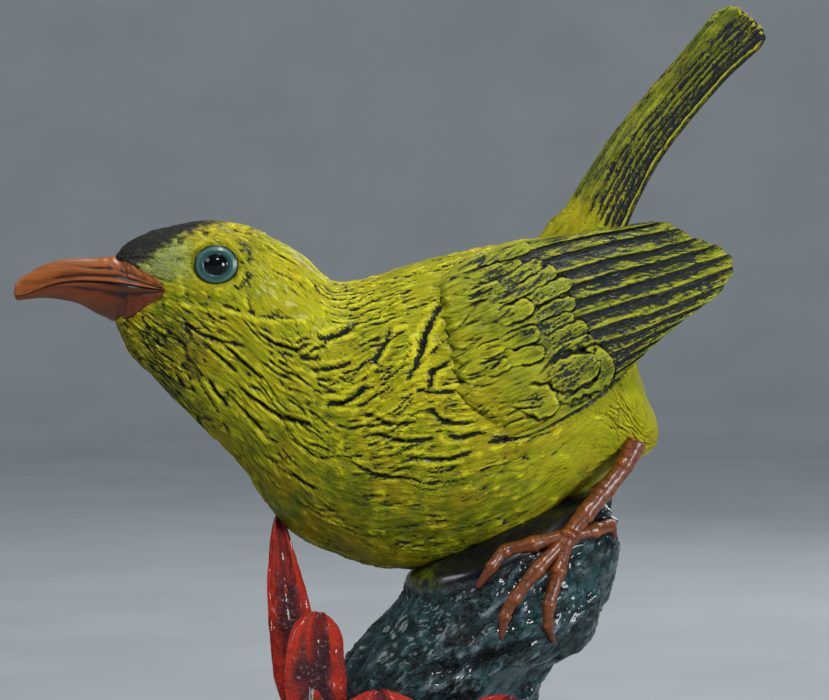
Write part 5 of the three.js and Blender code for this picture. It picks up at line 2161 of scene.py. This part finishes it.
@dataclass
class Flower:
    """Cupped petals round a heart, with a cup that sits on the trunk."""

    rings: int = 96
    sides: int = 60
    stamens: int = 9

    def __post_init__(self) -> None:
        """Finds the root of the petals on the trunk's face."""
        x, z = -0.24 * TRUNK_WIDTH, 0.5 * PERCH_HEIGHT
        self.radius = 0.15 * FLOWER_SIZE
        self.root = np.array(
            [x, -float(stump_face(np.array(x), np.array(z))) - self.radius * 0.35, z]
        )

    def petal(self, index: int) -> bpy.types.Object:
        """One petal along its own curve.

        Args:
            index: its row in the table.

        Returns:
            Its object, with its masks.
        """
        first, second, tip, width, faces = PETALS[index]
        knots = [
            self.root + np.array(share) * FLOWER_SIZE
            for share in ((0, 0, 0), first, second, tip or (0, 0, 0))
        ]
        if not tip:
            knots[3] = body_point(BREAST_ROW, -np.pi / 2) + np.array([-0.9, 0, 2])
        s = (0.002 + 0.996 * (np.arange(self.rings) + 0.5) / self.rings)[:, None]
        centre = (
            (1 - s) ** 3 * knots[0]
            + 3 * s * (1 - s) ** 2 * knots[1]
            + 3 * s * s * (1 - s) * knots[2]
            + s**3 * knots[3]
        )
        way = unit(
            (1 - s) ** 2 * (knots[1] - knots[0])
            + 2 * s * (1 - s) * (knots[2] - knots[1])
            + s * s * (knots[3] - knots[2])
        )
        across = unit(np.cross(way, unit(np.array(faces, float))))
        out = unit(np.cross(across, way))
        blunt = 0.14 if tip else 0.10
        taper = 1.0 if tip else mix(1.0, 0.42, smooth(s, 0.55, 1.02))
        shape = (
            mix(0.45, 1.0, smooth(s, 0, 0.55))
            * np.sqrt(np.clip(1 - (np.maximum(s - 1 + blunt, 0) / (blunt + 0.004)) ** 2, 0.0004, 1))
        )
        angle = turns(self.sides)
        side, upper = np.cos(angle), np.sin(angle) >= 0
        roundness = np.sqrt(np.clip(1 - side**2, 0, 1))
        cut = np.where(
            upper, roundness * (1 - 0.55 * np.exp(-((side / 0.2) ** 2))), -0.55 * roundness
        )
        ribs = 0.3 * np.sin(side * 11 + 2.0 * s + index) * roundness * np.where(upper, 1, 0.6)
        wavy = 1 + 0.05 * np.sin(s * 17 + index * 2) * np.abs(side)
        half = PETAL_THICKNESS / 2 * mix(0.7, 1.0, shape)
        height = cut * half + ribs * smooth(s, 0.03, 0.2) * shape
        flat = width * FLOWER_SIZE * shape * taper * side * wavy
        points = (
            centre[:, None]
            + across[:, None] * flat[..., None]
            + out[:, None] * height[..., None]
        )
        lumps = (
            0.45 * layered(points * 0.22, 3, 40 + index)
            + 0.12 * layered(points * 1.1, 2, 50 + index)
        )
        points = points + ring_normals(points) * ((lumps - 1.25) * shape)[..., None]
        ball = Ball(f"petal_{index}", self.rings, self.sides)
        obj = ball.build(points, knots[0], knots[3])
        # darker maroon in the middle and towards the root: partly the petal's own maroon, partly
        # painted shade
        middle = (
            (1.0 if tip else 0.75)
            * np.where(upper, np.exp(-((side / 0.72) ** 2)), 0.3)
            * (1 - smooth(s + 0.06 * np.cos(9 * side + index), 0.78, 0.97))
        )
        ball.paint(
            groove=np.where(upper, np.exp(-((side / 0.14) ** 2)), 0.2)
            + smooth(-ribs, 0.1, 0.3) * 0.4
        )
        ball.paint(tone=1.0 - 0.95 * middle - 0.3 * (1 - smooth(s, 0.05, 0.4)) + 0.7 * lumps)
        return obj

    def bead(self, name: str, centre: Array, radii: tuple, lumps: float) -> bpy.types.Object:
        """A lumpy ball.

        Args:
            name: its name until it is joined to the rest.
            centre: its middle, in millimetres.
            radii: its three radii.
            lumps: how high the lumps are, as a share of its radii.

        Returns:
            Its object, with its masks.
        """
        ball = Ball(name, 40, 48)
        lean = (np.pi * (np.arange(ball.rings) + 1) / (ball.rings + 1))[:, None]
        angle = turns(ball.sides)
        way = stacked(np.sin(lean) * np.cos(angle), np.sin(lean) * np.sin(angle), np.cos(lean))
        points = centre + way * np.array(radii) * (1 + lumps * layered(way * 3, 3, 7))[..., None]
        obj = ball.build(points, centre + [0, 0, radii[2]], centre - [0, 0, radii[2]])
        ball.paint(groove=smooth(-layered(way * 3, 3, 7), 0.0, 0.4))
        ball.paint(tone=np.full((ball.rings, ball.sides), 0.3))
        return obj

    def stamen(self, index: int, heart: Array) -> bpy.types.Object:
        """A short filament with a bead at its end.

        Args:
            index: its number, which sets where it stands.
            heart: the middle of the flower's heart.

        Returns:
            Its object, with its masks.
        """
        turn = 2 * np.pi * index / self.stamens + 0.2
        lean = np.array([0.75 * math.cos(turn), -1.0, 0.75 * math.sin(turn)])
        tip = heart + unit(lean) * self.radius * (1.05 + 0.15 * (index % 3))
        bend = heart + unit(lean * [0.6, 1.2, 0.6]) * self.radius * 0.6
        path = [[*heart, 0.8], [*bend, 0.62], [*(tip - unit(lean) * 1.2), 0.6], [*tip, 1.15]]
        return Limb(f"stamen_{index}", path, 36, 18, 0.05, 1.0).build()

    def build(self, paint: bpy.types.Material) -> None:
        """Lays out, joins and paints the flower.

        Args:
            paint: the material of the petals.
        """
        heart = self.root + np.array([0, -0.8, 0.35]) * self.radius
        parts = [self.petal(i) for i in range(len(PETALS))]
        parts.append(
            self.bead(
                "cup", self.root, (self.radius * 0.98, self.radius * 0.88, self.radius * 0.98), 0.05
            )
        )
        parts.append(self.bead("heart", heart, (self.radius * 0.5,) * 3, 0.12))
        parts += [self.stamen(i, heart) for i in range(self.stamens)]
        finish_piece(join("red_flower_petals", parts), paint, "petal_paint", "red_flower")


# ---------------------------------------------------------------- the studio


AIM = (0, 0, 0.17)
# name, place, aim, width, power and colour of each light.
LIGHTS = (
    ("key_light", (0.1, -0.95, 1.2), AIM, 0.3, 11.8, (1.0, 0.98, 0.94)),
    ("fill_light", (1.0, -0.9, 0.25), AIM, 0.45, 12.0, (0.97, 0.98, 1.0)),
    ("side_light", (-1.0, -0.3, 0.8), AIM, 0.45, 3.0, (0.95, 0.97, 1.0)),
    ("top_light", (0.0, 0.1, 1.3), AIM, 0.4, 3.5, (1.0, 1.0, 1.0)),
    ("rear_light", (0.5, 1.1, 0.7), AIM, 0.6, 6.0, (1.0, 1.0, 1.0)),
    ("backdrop_light", (0, 0.6, 2.2), (0, 2.9, 0.6), 1.2, 42.0, (0.97, 0.99, 1.0)),
)
SENSOR = 36.0


@dataclass
class Studio:
    """Pale backdrop, soft lights and the camera at the photograph's angle."""

    distance: float = 0.9
    field: float = 829 / 4 * MM
    floor: float = 2.2
    lean: float = 5.0
    level: float = 0.130
    aim: tuple = (-0.0064, 0, 0.1725)

    def backdrop(self) -> None:
        """A round floor that sweeps up into a pale wall all round."""
        bpy.ops.object.select_all(action="DESELECT")
        bpy.ops.mesh.primitive_circle_add(
            vertices=128, radius=self.floor, fill_type="NGON", location=(0, 0, -0.0005)
        )
        floor = new_object("studio_floor")
        bpy.ops.object.mode_set(mode="EDIT")
        bpy.context.tool_settings.mesh_select_mode = (False, True, False)
        bpy.ops.mesh.select_all(action="SELECT")
        reach = self.floor
        for k in range(1, 18):
            lean = math.pi / 2 * min(k, 16) / 16
            rise = 0.1 * math.sin(lean) if k < 17 else 3.0
            bpy.ops.mesh.extrude_edges_move(TRANSFORM_OT_translate={"value": (0, 0, rise)})
            wider = reach + 0.1 * math.cos(lean)
            bpy.ops.transform.resize(
                value=(wider / reach, wider / reach, 1), center_override=(0, 0, 0)
            )
            reach = wider
        bpy.ops.object.mode_set(mode="OBJECT")
        floor.data.polygons.foreach_set(
            "use_smooth", [len(face.vertices) == 4 for face in floor.data.polygons]
        )
        n = Nodes("studio_grey")
        grain = n.noise(n.where(), 9.0, 3.0, 0.5)
        colour = n.blend(n.step(grain, 0.3, 0.7), (0.25, 0.275, 0.295), (0.27, 0.30, 0.32))
        floor.data.materials.append(n.finish(colour, 0.85, grain, 0.0001, Specular_IOR_Level=0.2))

    def light(
        self, name: str, spot: tuple, aim: tuple, size: float, power: float, colour: tuple
    ) -> None:
        """One soft light.

        Args:
            name: its name.
            spot: where it stands, in metres.
            aim: where it shines.
            size: its width.
            power: in watts.
            colour: red, green and blue.
        """
        bpy.ops.object.select_all(action="DESELECT")
        bpy.ops.object.light_add(type="AREA", location=spot)
        lamp = bpy.context.active_object
        lamp.name = name
        lamp.data.shape = "DISK"
        lamp.data.size = size
        lamp.data.energy = power
        lamp.data.color = colour
        lamp.rotation_euler = (Vector(aim) - Vector(spot)).to_track_quat("-Z", "Y").to_euler()

    def build(self) -> None:
        """Sets the stage."""
        self.backdrop()
        for light in LIGHTS:
            self.light(*light)
        world = bpy.data.worlds.new("studio")
        world.use_nodes = True
        inputs = world.node_tree.nodes["Background"].inputs
        inputs["Color"].default_value, inputs["Strength"].default_value = (
            (0.60, 0.66, 0.72, 1),
            0.10,
        )
        bpy.context.scene.world = world
        lean = math.radians(self.lean)
        away, up = self.distance * math.cos(lean), self.distance * math.sin(lean)
        spot = Vector((0, -away, self.level + up))
        bpy.ops.object.camera_add(location=spot)
        camera = bpy.context.active_object
        camera.name = "photo_camera"
        camera.data.sensor_width = SENSOR
        camera.data.lens = SENSOR * self.distance / self.field
        camera.data.clip_start, camera.data.clip_end = 0.05, 20.0
        camera.rotation_euler = (Vector(self.aim) - spot).to_track_quat("-Z", "Y").to_euler()
        bpy.context.scene.camera = camera
        bpy.context.scene.view_settings.view_transform = "Standard"


def main() -> None:
    """Builds every piece and the studio."""
    logging.basicConfig(level=logging.INFO, format="%(relativeCreated)6d ms  %(message)s")
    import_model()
    plumage, horn = PlumagePaint().make(), HornPaint().make()
    eye, bark, petal = EyePaint().make(), BarkPatina().make(), PetalPaint().make()
    Body().build(plumage)
    Tail().build(plumage)
    Bill().build(horn)
    for side in Side:
        Wing(side).build(plumage)
        Eye(side).build(eye)
        Leg(side).build(horn)
    Stump().build(bark)
    Flower().build(petal)
    Studio().build()


if __name__ == "__main__":
    main()
